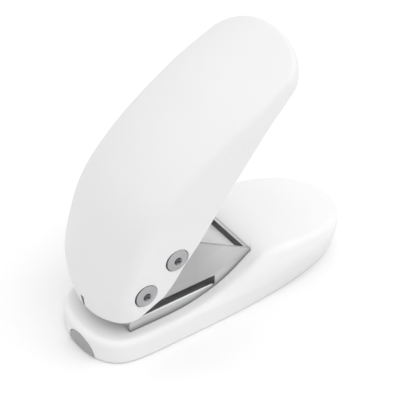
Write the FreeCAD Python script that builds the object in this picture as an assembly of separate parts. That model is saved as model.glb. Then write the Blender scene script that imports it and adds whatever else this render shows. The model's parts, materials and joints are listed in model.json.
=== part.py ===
import FreeCAD, Part
import os
import math

V = FreeCAD.Vector

# ---------------------------------------------------------------------------
# Single hole punch.  Millimetres, +Z up, the object stands on Z = 0.
# +X runs from the nose (paper entry) to the rear, Y is the width.
# The origin is the middle of the footprint, on the surface it stands on.
# ---------------------------------------------------------------------------

# overall
BASE_FRONT = -50.4
BASE_REAR = 50.0
BASE_HALF_BOTTOM = 17.8      # half width of the base at the table
BASE_WALL = 2.0
BASE_HALF_CREST = 19.3       # half width at the rear pad's crest
BASE_TOP_RADIUS = 2.4
BASE_LOW_RADIUS = 1.1
DECK_TOP = 8.0
DECK_BOTTOM = 6.4

# steel frame
SHEET = 1.2
FRAME_HALF = 13.0            # outside half width of the frame
FRAME_FRONT = -38.1
FRAME_REAR = 7.6
SLOT_LOW = 12.45             # paper slot, lower and upper edge
SLOT_HIGH = 15.85
SLOT_END = -6.4              # closed end of the slot
FRAME_REAR_TOP = 20.0

# lever and its pins
PIVOT = (-35.0, 25.46)
DRIVE = (-24.24, 34.71)
PIN_R = 2.0
LEVER_TRAVEL = 30.0          # degrees
LEVER_WALL = 2.0
HEAD_R = 3.9
SEAT = {"pivot_pin": 17.2, "drive_pin": 17.85}     # recess floors in the side walls

# punch
PUNCH_X = -22.65
PUNCH_R = 3.0
PUNCH_TIP = 17.0
CROSS_BOTTOM = 30.6
CROSS_TOP = 38.9
SPRING_LOW = 17.4
SPRING_HIGH = 30.0
SPRING_WIRE_R = 0.42
SPRING_MEAN_R = 5.2
SPRING_TURNS = 4.25

# chip cover
COVER_AXIS = (38.0, 3.8)
TAB_Y = -2.65                # the pull tab stands beside the middle
TAB_HALF = 6.2
TAB_HIGH = 6.5

parts = {}


def put(name, shape):
    parts[name] = shape


# ------------------------------ small helpers ------------------------------

def xz_prism(pts, y0, y1):
    """polygon in the XZ plane, extruded from y0 to y1"""
    w = Part.makePolygon([V(p[0], y0, p[1]) for p in pts] + [V(pts[0][0], y0, pts[0][1])])
    return Part.Face(w).extrude(V(0, y1 - y0, 0))


def box(x0, x1, y0, y1, z0, z1):
    return Part.makeBox(x1 - x0, y1 - y0, z1 - z0, V(x0, y0, z0))


def cyl_y(r, x, z, y0, y1):
    return Part.makeCylinder(r, y1 - y0, V(x, y0, z), V(0, 1, 0))


def cyl_z(r, x, y, z0, z1):
    return Part.makeCylinder(r, z1 - z0, V(x, y, z0), V(0, 0, 1))


def fuse_all(shapes):
    s = shapes[0]
    for o in shapes[1:]:
        s = s.fuse(o)
    return s.removeSplitter()


def rounded_xz(pts_r, y0, y1):
    """closed XZ outline with a radius at each corner: pts_r = [(x, z, r), ...]"""
    n = len(pts_r)
    edges = []
    ends = []
    for i in range(n):
        x, z, r = pts_r[i]
        p = V(x, y0, z)
        a = V(pts_r[i - 1][0], y0, pts_r[i - 1][1])
        b = V(pts_r[(i + 1) % n][0], y0, pts_r[(i + 1) % n][1])
        if r <= 0:
            ends.append((p, p, None))
            continue
        u = (a - p)
        u.normalize()
        w = (b - p)
        w.normalize()
        ang = math.acos(max(-1, min(1, u.dot(w))))
        d = r / math.tan(ang / 2)
        t1 = p + u * d
        t2 = p + w * d
        m = u + w
        m.normalize()
        c = p + m * (r / math.sin(ang / 2))
        mid = c - m * r
        ends.append((t1, t2, mid))
    for i in range(n):
        t1, t2, mid = ends[i]
        if mid is not None:
            edges.append(Part.Arc(t1, mid, t2).toShape())
        nxt = ends[(i + 1) % n][0]
        if (nxt - t2).Length > 1e-6:
            edges.append(Part.LineSegment(t2, nxt).toShape())
    return Part.Face(Part.Wire(edges)).extrude(V(0, y1 - y0, 0))


def interp(table, x):
    if x <= table[0][0]:
        return table[0][1]
    for (x0, y0), (x1, y1) in zip(table[:-1], table[1:]):
        if x <= x1:
            return y0 + (y1 - y0) * (x - x0) / (x1 - x0)
    return table[-1][1]


# ------------------------------- base outline ------------------------------
# Plan outline at the height z: a blunt rounded front and a long elliptic
# rear.  The rear crest stands out over the table line, so the rear side walls
# lean inwards to the bottom.

def width_low(x):
    """half width at the table, behind the widest place"""
    u = max(0.0, min(1.0, (x + 12.7) / (48.1 + 12.7)))
    return BASE_HALF_BOTTOM * max(0.0, 1 - u ** 1.9) ** 0.37


def width_crest(x):
    """half width at the crest of the rear pad"""
    if x <= 17.0:
        u = max(0.0, (x + 12.7) / 29.7)
        return BASE_HALF_BOTTOM + (BASE_HALF_CREST - BASE_HALF_BOTTOM) * u * u * (3 - 2 * u)
    u = min(1.0, (x - 17.0) / (BASE_REAR - 17.0))
    return BASE_HALF_CREST * max(0.0, 1 - u ** 2.6) ** 0.5


def front_curve():
    """the blunt front as (length, width) fractions, from its middle to the widest place"""
    out = []
    for i in range(10):
        y = 0.846 * i / 9
        out.append(((1 - y ** 2) ** (1 / 7.53), y))
    for i in range(1, 9):
        x = 0.846 * (1 - i / 8)
        out.append((x, (1 - x ** 7.53) ** 0.5))
    return out


def base_outline(z, inset=0.0, n=12):
    k = max(0.0, min(1.0, z / 17.0))
    k = 1 - (1 - k) ** 2.2
    xm = -12.7
    pts = []
    for a, b in front_curve():                   # front, centre to widest
        pts.append((xm - (xm - BASE_FRONT - inset) * a, (BASE_HALF_BOTTOM - inset) * b))
    for i in range(1, n + 1):                    # rear, widest to centre
        q = math.sin(math.pi / 2 * i / n)
        x = (1 - k) * (xm + (48.1 - xm) * q) + k * (xm + (BASE_REAR - xm) * q)
        y = (1 - k) * width_low(xm + (48.1 - xm) * q) + k * width_crest(xm + (BASE_REAR - xm) * q)
        f = (x - xm) / ((1 - k) * 48.1 + k * BASE_REAR - xm)
        x -= inset * f
        y -= inset * y / BASE_HALF_BOTTOM if y < BASE_HALF_BOTTOM else inset
        pts.append((x, max(0.0, y)))
    out = [V(x, -y, z) for x, y in pts]
    out += [V(x, y, z) for x, y in reversed(pts[1:-1])]
    return out


def spline_wire(pts):
    c = Part.BSplineCurve()
    c.interpolate(pts, PeriodicFlag=True)
    return Part.Wire([c.toShape()])


def mirrored(half):
    return half.fuse(half.mirror(V(0, 0, 0), V(0, 1, 0))).removeSplitter()


HALF_SPACE = Part.makeBox(160, 60, 120, V(-80, 0, -20))


def base_half(inset, zs):
    return Part.makeLoft([spline_wire(base_outline(z, inset)) for z in zs], True, False).common(HALF_SPACE)


# side profile of the base's top, from the front ledge to the rear pad's end
TOP = [(-56.0, 8.5), (-46.0, 8.5), (-36.0, 8.5), (-27.0, 8.4), (-20.0, 8.6), (-14.5, 9.3), (-10.0, 10.35), (-5.0, 12.0),
       (0.0, 14.5), (4.0, 17.1), (7.6, 19.45), (10.5, 20.5), (16.0, 20.75), (24.0, 19.9), (34.0, 18.6), (44.0, 17.0),
       (56.0, 15.0)]


def top_prism(drop=0.0, z_low=-6.0, half=30.0):
    c = Part.BSplineCurve()
    c.interpolate([V(x, -half, z - drop) for x, z in TOP])
    a, b = V(TOP[0][0], -half, TOP[0][1] - drop), V(TOP[-1][0], -half, TOP[-1][1] - drop)
    e, f = V(TOP[-1][0], -half, z_low), V(TOP[0][0], -half, z_low)
    w = Part.Wire([c.toShape(), Part.makeLine(b, e), Part.makeLine(e, f), Part.makeLine(f, a)])
    return Part.Face(w).extrude(V(0, 2 * half, 0))


outer_half = base_half(0.0, [0.0, 5.0, 10.0, 16.0, 23.0]).common(top_prism())
rim = [e for e in outer_half.Edges if e.BoundBox.ZMin > 4.5 and e.BoundBox.YLength > 1.0]
outer_half = outer_half.makeFillet(BASE_TOP_RADIUS, rim)
foot = [e for e in outer_half.Edges if e.BoundBox.ZMax < 0.01 and e.BoundBox.YLength > 10]
print("rim edges", len(rim), "foot edges", len(foot))
outer_half = outer_half.makeFillet(BASE_LOW_RADIUS, foot)
base_solid = mirrored(outer_half)
print("base outer", base_solid.isValid(), len(base_solid.Solids), base_solid.Volume)

cav_half = base_half(BASE_WALL, [-1.0, 6.0, 12.0, 20.0])
cav_prof = xz_prism([(-49.0, -2.0), (-49.0, DECK_BOTTOM), (9.7, DECK_BOTTOM), (9.7, 18.1), (16.0, 18.4), (24.0, 17.6),
                     (34.0, 16.2), (42.0, 13.4), (50.0, 10.5), (50.0, -2.0)], -25, 25)
cavity = mirrored(cav_half.common(cav_prof))
# the hollow stays clear of the rounded top edge
cavity = cavity.cut(mirrored(xz_prism([(-60, 14.2), (-60, 30), (60, 30), (60, 14.2)], 14.5, 30)))
shell = base_solid.cut(cavity)
# pocket for the frame
shell = shell.cut(box(FRAME_FRONT - 0.05, FRAME_REAR + 0.05, -FRAME_HALF - 0.05, FRAME_HALF + 0.05, DECK_TOP, 40))
# chip hole
shell = shell.cut(cyl_z(4.0, PUNCH_X, 0, DECK_BOTTOM - 1, DECK_TOP + 1))
# bosses under the frame's lower web
SCREWS = [(-34.0, -8.0), (-34.0, 8.0), (-1.0, -8.0), (-1.0, 8.0)]
for sx, sy in SCREWS:
    shell = shell.fuse(cyl_z(3.0, sx, sy, DECK_TOP - 0.5, SLOT_LOW - SHEET))
for sx, sy in SCREWS:
    shell = shell.cut(cyl_z(1.3, sx, sy, DECK_BOTTOM - 1, 14))
# ribs with the cover's hinge holes
for s in (-1, 1):
    y0, y1 = (6.9, 8.5) if s > 0 else (-8.5, -6.9)
    rib = xz_prism([(34.5, 17.6), (34.5, 6.0), (36.0, 2.1), (40.0, 2.1), (41.5, 6.0), (41.5, 15.2)], y0, y1)
    rib = rib.common(base_solid)
    shell = shell.fuse(rib)
for s in (-1, 1):
    y0, y1 = (6.0, 9.0) if s > 0 else (-9.0, -6.0)
    shell = shell.cut(cyl_y(1.17, COVER_AXIS[0], COVER_AXIS[1], y0, y1))


def arch(half, high, x0, x1, z0):
    """arch outline in the YZ plane, extruded along X"""
    pts = []
    n = 24
    for i in range(n + 1):
        t = math.pi * i / n
        pts.append(V(x0, TAB_Y - half * math.cos(t), z0 + (high - z0) * math.sin(t) ** 0.9))
    c = Part.BSplineCurve()
    c.interpolate(pts)
    w = Part.Wire([c.toShape(), Part.makeLine(pts[-1], pts[0])])
    return Part.Face(w).extrude(V(x1 - x0, 0, 0))


notch = arch(TAB_HALF + 0.25, TAB_HIGH + 0.25, -56, -46.2, 0.05)
shell = shell.cut(notch).cut(box(-56, -46.2, TAB_Y - TAB_HALF - 0.25, TAB_Y + TAB_HALF + 0.25, -1, 0.06))
shell = shell.removeSplitter()
put("base_shell", shell)

# ------------------------------- chip cover --------------------------------

def cover_outline(z):
    pts = []
    n = 12
    xm, xf, xr = -12.7, BASE_FRONT + 2.35, 43.6
    wm = BASE_HALF_BOTTOM - 2.35
    for a, b in front_curve():
        pts.append((xm - (xm - xf) * a, wm * b))
    for i in range(1, n + 1):
        t = math.pi / 2 * i / n
        c = max(0.0, math.cos(t))
        pts.append((xm + (xr - xm) * math.sin(t) ** (2 / 2.1), wm * c ** (2 / 2.4)))
    return [V(x, -y, z) for x, y in pts] + [V(x, y, z) for x, y in reversed(pts[1:-1])]


plate = Part.Face(spline_wire(cover_outline(0.5))).extrude(V(0, 0, 1.4))
tab = arch(TAB_HALF, TAB_HIGH, -56, -45.8, 0.3).common(base_solid)
tab = tab.cut(box(-47.9, -40, -20, 20, 2.6, 10))
lugs = []
for s in (-1, 1):
    y0, y1 = (4.9, 6.6) if s > 0 else (-6.6, -4.9)
    lugs.append(rounded_xz([(35.6, 1.2, 0), (35.6, 6.0, 2.0), (40.4, 6.0, 2.0), (40.4, 1.2, 0)], y0, y1))
    t0, t1 = (6.0, 8.4) if s > 0 else (-8.4, -6.0)
    lugs.append(cyl_y(1.1, COVER_AXIS[0], COVER_AXIS[1], t0, t1))
# stiffening ribs on the plate
for yy in (-9.0, 0.0, 9.0):
    lugs.append(box(-30, 22, yy - 0.5, yy + 0.5, 1.5, 2.2))
# the plate is narrow behind the hinge, where the base's ribs stand
for s in (-1, 1):
    y0, y1 = (6.72, 20) if s > 0 else (-20, -6.72)
    plate = plate.cut(box(35.0, 60, y0, y1, -1, 3))
put("chip_cover", fuse_all([plate, tab] + lugs))

# ------------------------------- steel frame -------------------------------

def arc_pts(cx, cz, r, a0, a1, n=10):
    return [(cx + r * math.cos(math.radians(a0 + (a1 - a0) * i / n)),
             cz + r * math.sin(math.radians(a0 + (a1 - a0) * i / n))) for i in range(n + 1)]


wall_outline = [(FRAME_REAR, DECK_TOP, 0.0), (FRAME_REAR, FRAME_REAR_TOP, 0.8), (-15.6, 33.7, 5.0), (-20.6, 40.0, 3.0),
                (-27.0, 40.4, 3.0), (-31.5, 36.6, 4.0), (-39.9, 28.9, 4.0), (-39.9, 20.5, 3.0), (FRAME_FRONT, SLOT_HIGH, 0.8),
                (SLOT_END, SLOT_HIGH, 0.3), (SLOT_END, SLOT_LOW, 0.3), (FRAME_FRONT, SLOT_LOW, 1.0),
                (FRAME_FRONT, DECK_TOP, 0.0)]
R12 = math.hypot(DRIVE[0] - PIVOT[0], DRIVE[1] - PIVOT[1])
A12 = math.degrees(math.atan2(DRIVE[1] - PIVOT[1], DRIVE[0] - PIVOT[0]))


def arc_slot(half, y0, y1, extra=0.0):
    """curved slot that the drive pin runs in"""
    a_hi, a_lo = A12 + extra, A12 - LEVER_TRAVEL - extra
    o = arc_pts(PIVOT[0], PIVOT[1], R12 + half, a_hi, a_lo, 2)
    i = arc_pts(PIVOT[0], PIVOT[1], R12 - half, a_lo, a_hi, 2)
    hi = arc_pts(PIVOT[0], PIVOT[1], R12, a_hi, a_hi, 1)[0]
    lo = arc_pts(PIVOT[0], PIVOT[1], R12, a_lo, a_lo, 1)[0]
    th, tl = math.radians(a_hi + 90), math.radians(a_lo - 90)
    capl = (lo[0] + half * math.cos(tl), lo[1] + half * math.sin(tl))
    caph = (hi[0] + half * math.cos(th), hi[1] + half * math.sin(th))
    P = lambda q: V(q[0], y0, q[1])
    w = Part.Wire([Part.Arc(P(o[0]), P(o[1]), P(o[2])).toShape(), Part.Arc(P(o[2]), P(capl), P(i[0])).toShape(),
                   Part.Arc(P(i[0]), P(i[1]), P(i[2])).toShape(), Part.Arc(P(i[2]), P(caph), P(o[0])).toShape()])
    return Part.Face(w).extrude(V(0, y1 - y0, 0))


frame = rounded_xz(wall_outline, -FRAME_HALF, -FRAME_HALF + SHEET)
frame = frame.fuse(rounded_xz(wall_outline, FRAME_HALF - SHEET, FRAME_HALF))
frame = frame.fuse(box(FRAME_FRONT, FRAME_REAR - 0.2, -FRAME_HALF + 0.4, FRAME_HALF - 0.4, SLOT_LOW - SHEET, SLOT_LOW))
frame = frame.fuse(box(FRAME_REAR - SHEET, FRAME_REAR, -FRAME_HALF + 0.4, FRAME_HALF - 0.4, DECK_TOP, FRAME_REAR_TOP))
frame = frame.removeSplitter()
# rounded bend along the lower jaw's outer edges
BEND = 0.8
for s in (-1, 1):
    y0, y1 = (FRAME_HALF - BEND, FRAME_HALF + 1) if s > 0 else (-FRAME_HALF - 1, -FRAME_HALF + BEND)
    bend = box(FRAME_FRONT - 1, SLOT_END - 0.6, y0, y1, SLOT_LOW - BEND, SLOT_LOW + 1)
    bend = bend.cut(Part.makeCylinder(BEND, 60, V(FRAME_FRONT - 5, s * (FRAME_HALF - BEND), SLOT_LOW - BEND), V(1, 0, 0)))
    frame = frame.cut(bend)
for s in (-1, 1):
    y0, y1 = (FRAME_HALF - SHEET - 1, FRAME_HALF + 1) if s > 0 else (-FRAME_HALF - 1, -FRAME_HALF + SHEET + 1)
    frame = frame.cut(cyl_y(PIN_R + 0.05, PIVOT[0], PIVOT[1], y0, y1))
    frame = frame.cut(arc_slot(PIN_R + 0.25, y0, y1, 0.3))
    for rx, rz in ((-33.0, 19.6), (-26.0, 19.6)):
        frame = frame.cut(cyl_y(1.2, rx, rz, y0, y1))
# die seat and screw holes
frame = frame.cut(cyl_z(5.0, PUNCH_X, 0, 8, SLOT_LOW + 1))
for sx, sy in SCREWS:
    frame = frame.cut(cyl_z(1.25, sx, sy, 8, SLOT_LOW + 1))
put("punch_frame", frame)

# die bush: collar below the web, bore opens downwards
die = cyl_z(6.0, PUNCH_X, 0, 9.2, SLOT_LOW - SHEET).fuse(cyl_z(5.0, PUNCH_X, 0, 9.2, SLOT_LOW))
die = die.cut(cyl_z(PUNCH_R + 0.05, PUNCH_X, 0, 8, 14))
die = die.cut(Part.makeCone(3.7, 3.05, 1.6, V(PUNCH_X, 0, 9.2), V(0, 0, 1)))
put("die_bush", die.removeSplitter())

# screws from below, heads in the chip chamber
sc = []
for sx, sy in SCREWS:
    head = cyl_z(2.3, sx, sy, DECK_BOTTOM - 1.3, DECK_BOTTOM)
    top = [e for e in head.Edges if abs(e.BoundBox.ZMin - (DECK_BOTTOM - 1.3)) < 1e-4 and e.BoundBox.ZLength < 1e-4]
    head = head.makeFillet(0.5, top)
    head = head.cut(box(sx - 1.3, sx + 1.3, sy - 0.3, sy + 0.3, DECK_BOTTOM - 1.4, DECK_BOTTOM - 0.7))
    head = head.cut(box(sx - 0.3, sx + 0.3, sy - 1.3, sy + 1.3, DECK_BOTTOM - 1.4, DECK_BOTTOM - 0.7))
    sc.append(head.fuse(cyl_z(1.23, sx, sy, DECK_BOTTOM - 0.2, SLOT_LOW - 0.15)).removeSplitter())
put("frame_screws", Part.makeCompound(sc))

# ------------------------------ guide bracket ------------------------------
GB_OUT = FRAME_HALF - SHEET - 0.05
gb = box(-37.2, -8.2, -GB_OUT, GB_OUT, SLOT_HIGH, SLOT_HIGH + 1.4)
for s in (-1, 1):
    y0, y1 = (GB_OUT - 1.2, GB_OUT) if s > 0 else (-GB_OUT, -GB_OUT + 1.2)
    gb = gb.fuse(rounded_xz([(-37.2, SLOT_HIGH + 0.2, 0), (-37.2, 22.4, 2.0), (-21.5, 22.4, 2.0), (-8.2, SLOT_HIGH + 2.6, 1.0),
                             (-8.2, SLOT_HIGH + 0.2, 0)], y0, y1))
gb = gb.removeSplitter()
gb = gb.cut(xz_prism([(-37.3, SLOT_HIGH - 0.1), (-37.3, SLOT_HIGH + 0.9), (-35.6, SLOT_HIGH - 0.1)], -12, 12))
gb = gb.cut(cyl_z(4.5, PUNCH_X, 0, 14, 19))
for s in (-1, 1):
    y0, y1 = (9, 13) if s > 0 else (-13, -9)
    for rx, rz in ((-33.0, 19.6), (-26.0, 19.6)):
        gb = gb.cut(cyl_y(1.2, rx, rz, y0, y1))
put("guide_bracket", gb)

riv = []
for s in (-1, 1):
    for rx, rz in ((-33.0, 19.6), (-26.0, 19.6)):
        a, b = (GB_OUT - 1.2, FRAME_HALF) if s > 0 else (-FRAME_HALF, -GB_OUT + 1.2)
        h0, h1 = (GB_OUT - 2.0, GB_OUT - 1.2) if s > 0 else (-GB_OUT + 1.2, -GB_OUT + 2.0)
        riv.append(cyl_y(1.2, rx, rz, a, b).fuse(cyl_y(1.9, rx, rz, h0, h1)).removeSplitter())
put("bracket_rivets", Part.makeCompound(riv))

gbush = cyl_z(4.5, PUNCH_X, 0, SLOT_HIGH + 0.05, 20.0)
gbush = gbush.cut(cyl_z(PUNCH_R + 0.04, PUNCH_X, 0, 14, 22))
put("guide_bush", gbush)

# sloping plate between the walls, behind the mechanism
sl = math.atan2(31.2 - FRAME_REAR_TOP, -11.4 - FRAME_REAR)     # direction up the slope, towards the front
ux, uz = math.cos(sl), math.sin(sl)
nx, nz = uz, -ux                                               # normal, up and to the rear
if nz < 0:
    nx, nz = -nx, -nz


def slope_pt(x, off):
    """point above x on the line parallel to the wall's sloping edge, off mm under it"""
    t = (x - FRAME_REAR) / ux
    return (FRAME_REAR + ux * t - nx * off, FRAME_REAR_TOP + uz * t - nz * off)


rc_top = [slope_pt(4.6, 1.3), slope_pt(-13.4, 1.3)]
rc_bot = [slope_pt(-13.4, 2.5), slope_pt(4.6, 2.5)]
rcp = xz_prism(rc_top + rc_bot, -GB_OUT, GB_OUT)
for s in (-1, 1):
    y0, y1 = (GB_OUT - 1.2, GB_OUT) if s > 0 else (-GB_OUT, -GB_OUT + 1.2)
    rcp = rcp.fuse(xz_prism([slope_pt(4.6, 1.6), slope_pt(-13.4, 1.6), slope_pt(-12.4, 6.5), slope_pt(2.6, 4.6)], y0, y1))
put("rear_cover_plate", rcp.removeSplitter())

# -------------------------------- lever shell ------------------------------
# Stations: front/top profile point F, lower edge point E (both in XZ), half
# width W, crown radius R, corner radius r and the arch of the underside.
ST = [
    ((-45.9, 13.3), (-28.2, 21.5), 17.55, 26, 8.0, 0.05),
    ((-46.9, 18.6), (-26.6, 23.3), 17.7, 32, 5.6, 0.05),
    ((-47.0, 23.5), (-25.0, 25.2), 17.9, 36, 4.6, 0.05),
    ((-46.3, 28.5), (-23.2, 27.8), 18.1, 39, 4.2, 0.05),
    ((-45.0, 33.6), (-21.6, 30.5), 18.4, 41, 4.3, 0.05),
    ((-43.0, 39.5), (-19.4, 33.5), 18.7, 44, 4.4, 0.05),
    ((-39.7, 47.2), (-16.3, 38.0), 19.2, 48, 4.5, 0.05),
    ((-34.6, 54.5), (-12.7, 43.9), 19.8, 51, 4.7, 0.05),
    ((-28.2, 60.8), (-9.1, 49.6), 20.3, 54, 4.8, 0.05),
    ((-19.2, 68.0), (-4.1, 56.9), 20.7, 56, 4.8, 0.05),
    ((-10.1, 74.0), (1.5, 64.2), 20.9, 58, 4.8, 0.05),
    ((-1.0, 79.4), (6.7, 70.6), 20.9, 59, 4.3, 0.4),
    ((7.9, 83.8), (12.4, 75.8), 20.5, 59, 3.4, 1.2),
    ((15.5, 87.3), (18.4, 80.8), 20.1, 59, 2.2, 2.4),
    ((23.2, 90.6), (25.3, 85.8), 20.0, 59, 1.4, 3.3),
    ((28.0, 92.7), (29.9, 88.3), 20.0, 59, 1.2, 3.4),
]


def station(F, E, W, R, r, arch_=0.05, over=0.0):
    d = V(E[0] - F[0], 0, E[1] - F[1])
    L = d.Length + over
    d.normalize()
    ac = R - math.sqrt((R - r) ** 2 - (W - r) ** 2)
    ty = R * (W - r) / (R - r)
    ta = R + R * (ac - R) / (R - r)
    th = math.atan2(ta - ac, ty - (W - r))
    mid = (ac + r * math.sin(th / 2), (W - r) + r * math.cos(th / 2))
    o = V(F[0], 0, F[1])
    P = lambda a, y: o + d * a + V(0, y, 0)
    if L < ac + 0.3:
        L = ac + 0.3
    es = [Part.Arc(P(ta, -ty), P(0, 0), P(ta, ty)).toShape(),
          Part.Arc(P(ta, ty), P(mid[0], mid[1]), P(ac, W)).toShape(),
          Part.makeLine(P(ac, W), P(L, W)),
          Part.Arc(P(L, W), P(L - arch_, 0), P(L, -W)).toShape(),
          Part.makeLine(P(L, -W), P(ac, -W)),
          Part.Arc(P(ac, -W), P(mid[0], -mid[1]), P(ta, -ty)).toShape()]
    return Part.Wire(es)


outer_lever = Part.makeLoft([station(*s) for s in ST], True, False)
inner = []
t = LEVER_WALL
# first station of the hollow lies below the lower edge, so the nose is open
F0, E0 = ST[0][0], ST[0][1]
inner.append(station((F0[0] + 1.6 + 0.3, F0[1] - 5.0), (E0[0] + 6.0, E0[1] - 5.0 + 3.0), ST[0][2] - t, ST[0][3] - t, ST[0][4] - t))
for (F, E, W, R, r, arch_) in ST:
    d = (E[0] - F[0], E[1] - F[1])
    L = math.hypot(*d)
    d = (d[0] / L, d[1] / L)
    inner.append(station((F[0] + d[0] * t, F[1] + d[1] * t), E, W - t, R - t, max(r - t, 0.6), over=6.0))
inner_lever = Part.makeLoft([w for w in inner], True, False)

# rounded tip, cut square to the handle's top
TIP_ANG = math.radians(23.9)
TIP_END = (23.16, 90.8)
TIP_LONG = 10.9
TIP_HALF = 19.75
TIP_RIM_RADIUS = 1.1


def tip_prism(off):
    """outline of the handle seen square to its top, extruded through it"""
    du = V(math.cos(TIP_ANG), 0, math.sin(TIP_ANG))
    dn = V(-math.sin(TIP_ANG), 0, math.cos(TIP_ANG))
    o = V(TIP_END[0], 0, TIP_END[1])
    n = 14
    side = []
    for i in range(n + 1):
        a = math.pi / 2 * i / n
        u = -TIP_LONG + (TIP_LONG - off) * math.sin(a) ** (2 / 1.6)
        y = (TIP_HALF - off) * max(0.0, math.cos(a)) ** (2 / 2.46)
        side.append((u, y))
    lead = [(-TIP_LONG - d, TIP_HALF - off + 0.13 * d) for d in (24.0, 16.0, 8.0, 4.0)]
    side = lead + side
    near = [o + du * u + V(0, -y, 0) for u, y in side]
    far = [o + du * u + V(0, y, 0) for u, y in reversed(side[:-1])]
    c = Part.BSplineCurve()
    c.interpolate(near + far)
    back1 = o + du * (-110) + V(0, -30, 0)
    back2 = o + du * (-110) + V(0, 30, 0)
    w = Part.Wire([c.toShape(), Part.makeLine(far[-1], back2), Part.makeLine(back2, back1),
                   Part.makeLine(back1, near[0])])
    w.translate(dn * -60)
    return Part.Face(w).extrude(dn * 120)


lev_half = outer_lever.common(tip_prism(0.0)).common(HALF_SPACE)
tip_rim = []
for e in lev_half.Edges:
    q = e.discretize(3)
    ends = sorted((round(q[0].y, 1), round(q[-1].y, 1)))
    if min(p.x for p in q) > 15.0 and ends[0] < 0.1 and ends[1] > 15 and min(p.z for p in q) > 84.0 and max(p.z for p in q) > 90.0:
        tip_rim.append(e)
print("tip rim edges", len(tip_rim))
lev_half = lev_half.makeFillet(TIP_RIM_RADIUS, tip_rim)
lev_out = mirrored(lev_half)
print("lever outer", lev_out.isValid(), len(lev_out.Solids), lev_out.Volume)
lev_in = inner_lever.common(tip_prism(LEVER_WALL))
cover = lev_out.cut(lev_in)

# recesses, bosses and pin holes in the side walls
for s in (-1, 1):
    for nm, (px, pz) in (("pivot_pin", PIVOT), ("drive_pin", DRIVE)):
        a, b = (14.95, 17.0) if s > 0 else (-17.0, -14.95)
        cover = cover.fuse(cyl_y(4.6, px, pz, a, b).common(lev_out))
for s in (-1, 1):
    for nm, (px, pz) in (("pivot_pin", PIVOT), ("drive_pin", DRIVE)):
        a, b = (SEAT[nm], 24) if s > 0 else (-24, -SEAT[nm])
        cover = cover.cut(cyl_y(HEAD_R + 0.15, px, pz, a, b))
        a, b = (14, 24) if s > 0 else (-24, -14)
        cover = cover.cut(cyl_y(PIN_R + 0.01, px, pz, a, b))

# screw boss on the shell's roof, over the lever bracket's rear end
BOSS = (-8.35, 62.39)
bd = V(-math.sin(math.radians(33)), 0, math.cos(math.radians(33)))
b0 = V(BOSS[0], 0, BOSS[1])
boss = Part.makeCylinder(3.2, 12.0, b0, bd)
cover = cover.fuse(boss.common(lev_out))
cover = cover.cut(Part.makeCylinder(1.2, 5.0, b0 - bd * 0.5, bd))

# groove for the centre mark on the nose
mark_box = box(-50.0, -30.0, -0.55, 0.55, 14.6, 19.0)
mark_skin = mark_box.common(lev_out).cut(xz_prism([(-45.1 + 0.25, 10.0), (-45.1 + 0.25, 13.6), (-46.55, 18.6), (-46.7, 23.5), (-30, 23.5), (-30, 10)], -3, 3))
cover = cover.cut(mark_box.cut(xz_prism([(-45.1 + 0.25, 10.0), (-45.1 + 0.25, 13.6), (-46.55, 18.6), (-46.7, 23.5), (-30, 23.5), (-30, 10)], -3, 3)))
cover = cover.removeSplitter()
put("lever_cover", cover)
put("centre_mark", mark_skin)

# ------------------------------- lever bracket -----------------------------
LB_IN, LB_OUT = 13.6, 14.9
lb_outline = [(-39.6, 20.6, 3.0), (-34.0, 19.8, 4.0), (-29.0, 23.6, 4.0), (-20.0, 35.0, 6.0), (-11.5, 48.0, 8.0), (-4.0, 58.8, 2.0),
              (-6.6, 63.3, 1.0), (-15.0, 58.2, 6.0), (-25.5, 50.6, 8.0), (-33.5, 40.5, 10.0), (-39.6, 28.0, 4.0)]
lb = rounded_xz(lb_outline, -LB_OUT, -LB_IN).fuse(rounded_xz(lb_outline, LB_IN, LB_OUT))
# roof between the cheeks
roof = [(-6.6, 63.3), (-15.0, 58.2), (-24.0, 51.7), (-24.0 + 0.9, 51.7 - 1.1), (-14.4, 56.95), (-6.0, 62.05)]
lb = lb.fuse(xz_prism(roof, -LB_OUT + 0.3, LB_OUT - 0.3))
lb = lb.removeSplitter()
for s in (-1, 1):
    a, b = (13, 16) if s > 0 else (-16, -13)
    for (px, pz) in (PIVOT, DRIVE):
        lb = lb.cut(cyl_y(PIN_R + 0.01, px, pz, a, b))
lb = lb.cut(Part.makeCylinder(1.4, 8.0, b0 - bd * 6.0, bd))
put("lever_bracket", lb)

screw_shank = Part.makeCylinder(1.15, 5.2, b0 - bd * 1.9, bd)
screw_head = Part.makeCylinder(2.6, 1.2, b0 - bd * 2.84, bd)
rd = [e for e in screw_head.Edges if e.Curve.TypeId == "Part::GeomCircle" and (e.CenterOfMass - (b0 - bd * 2.84)).Length < 0.01]
screw_head = screw_head.makeFillet(0.5, rd)
put("cover_screw", screw_shank.fuse(screw_head).removeSplitter())

# ----------------------------------- pins ----------------------------------

def head_solid(px, pz, y_seat, sgn):
    """low domed rivet head with a round dimple; the seat faces the wall"""
    r, h, e = HEAD_R, 1.2, 0.5
    # profile in the plane (radius, height)
    p0, p1, p2 = V(0, 0, 0), V(r, 0, 0), V(r, 0, e)
    top = V(0, 0, h)
    rho = (r * r + (h - e) ** 2) / (2 * (h - e))
    m_r = r * 0.55
    m_h = h - rho + math.sqrt(rho * rho - m_r * m_r)
    w = Part.Wire([Part.makeLine(p0, p1), Part.makeLine(p1, p2), Part.Arc(p2, V(m_r, 0, m_h), top).toShape(), Part.makeLine(top, p0)])
    s = Part.Face(w).revolve(V(0, 0, 0), V(0, 0, 1), 360)
    s = s.cut(Part.makeSphere(1.5, V(0, 0, h + 0.95)))
    s.rotate(V(0, 0, 0), V(1, 0, 0), 90 if sgn < 0 else -90)
    s.translate(V(px, y_seat, pz))
    return s


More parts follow.
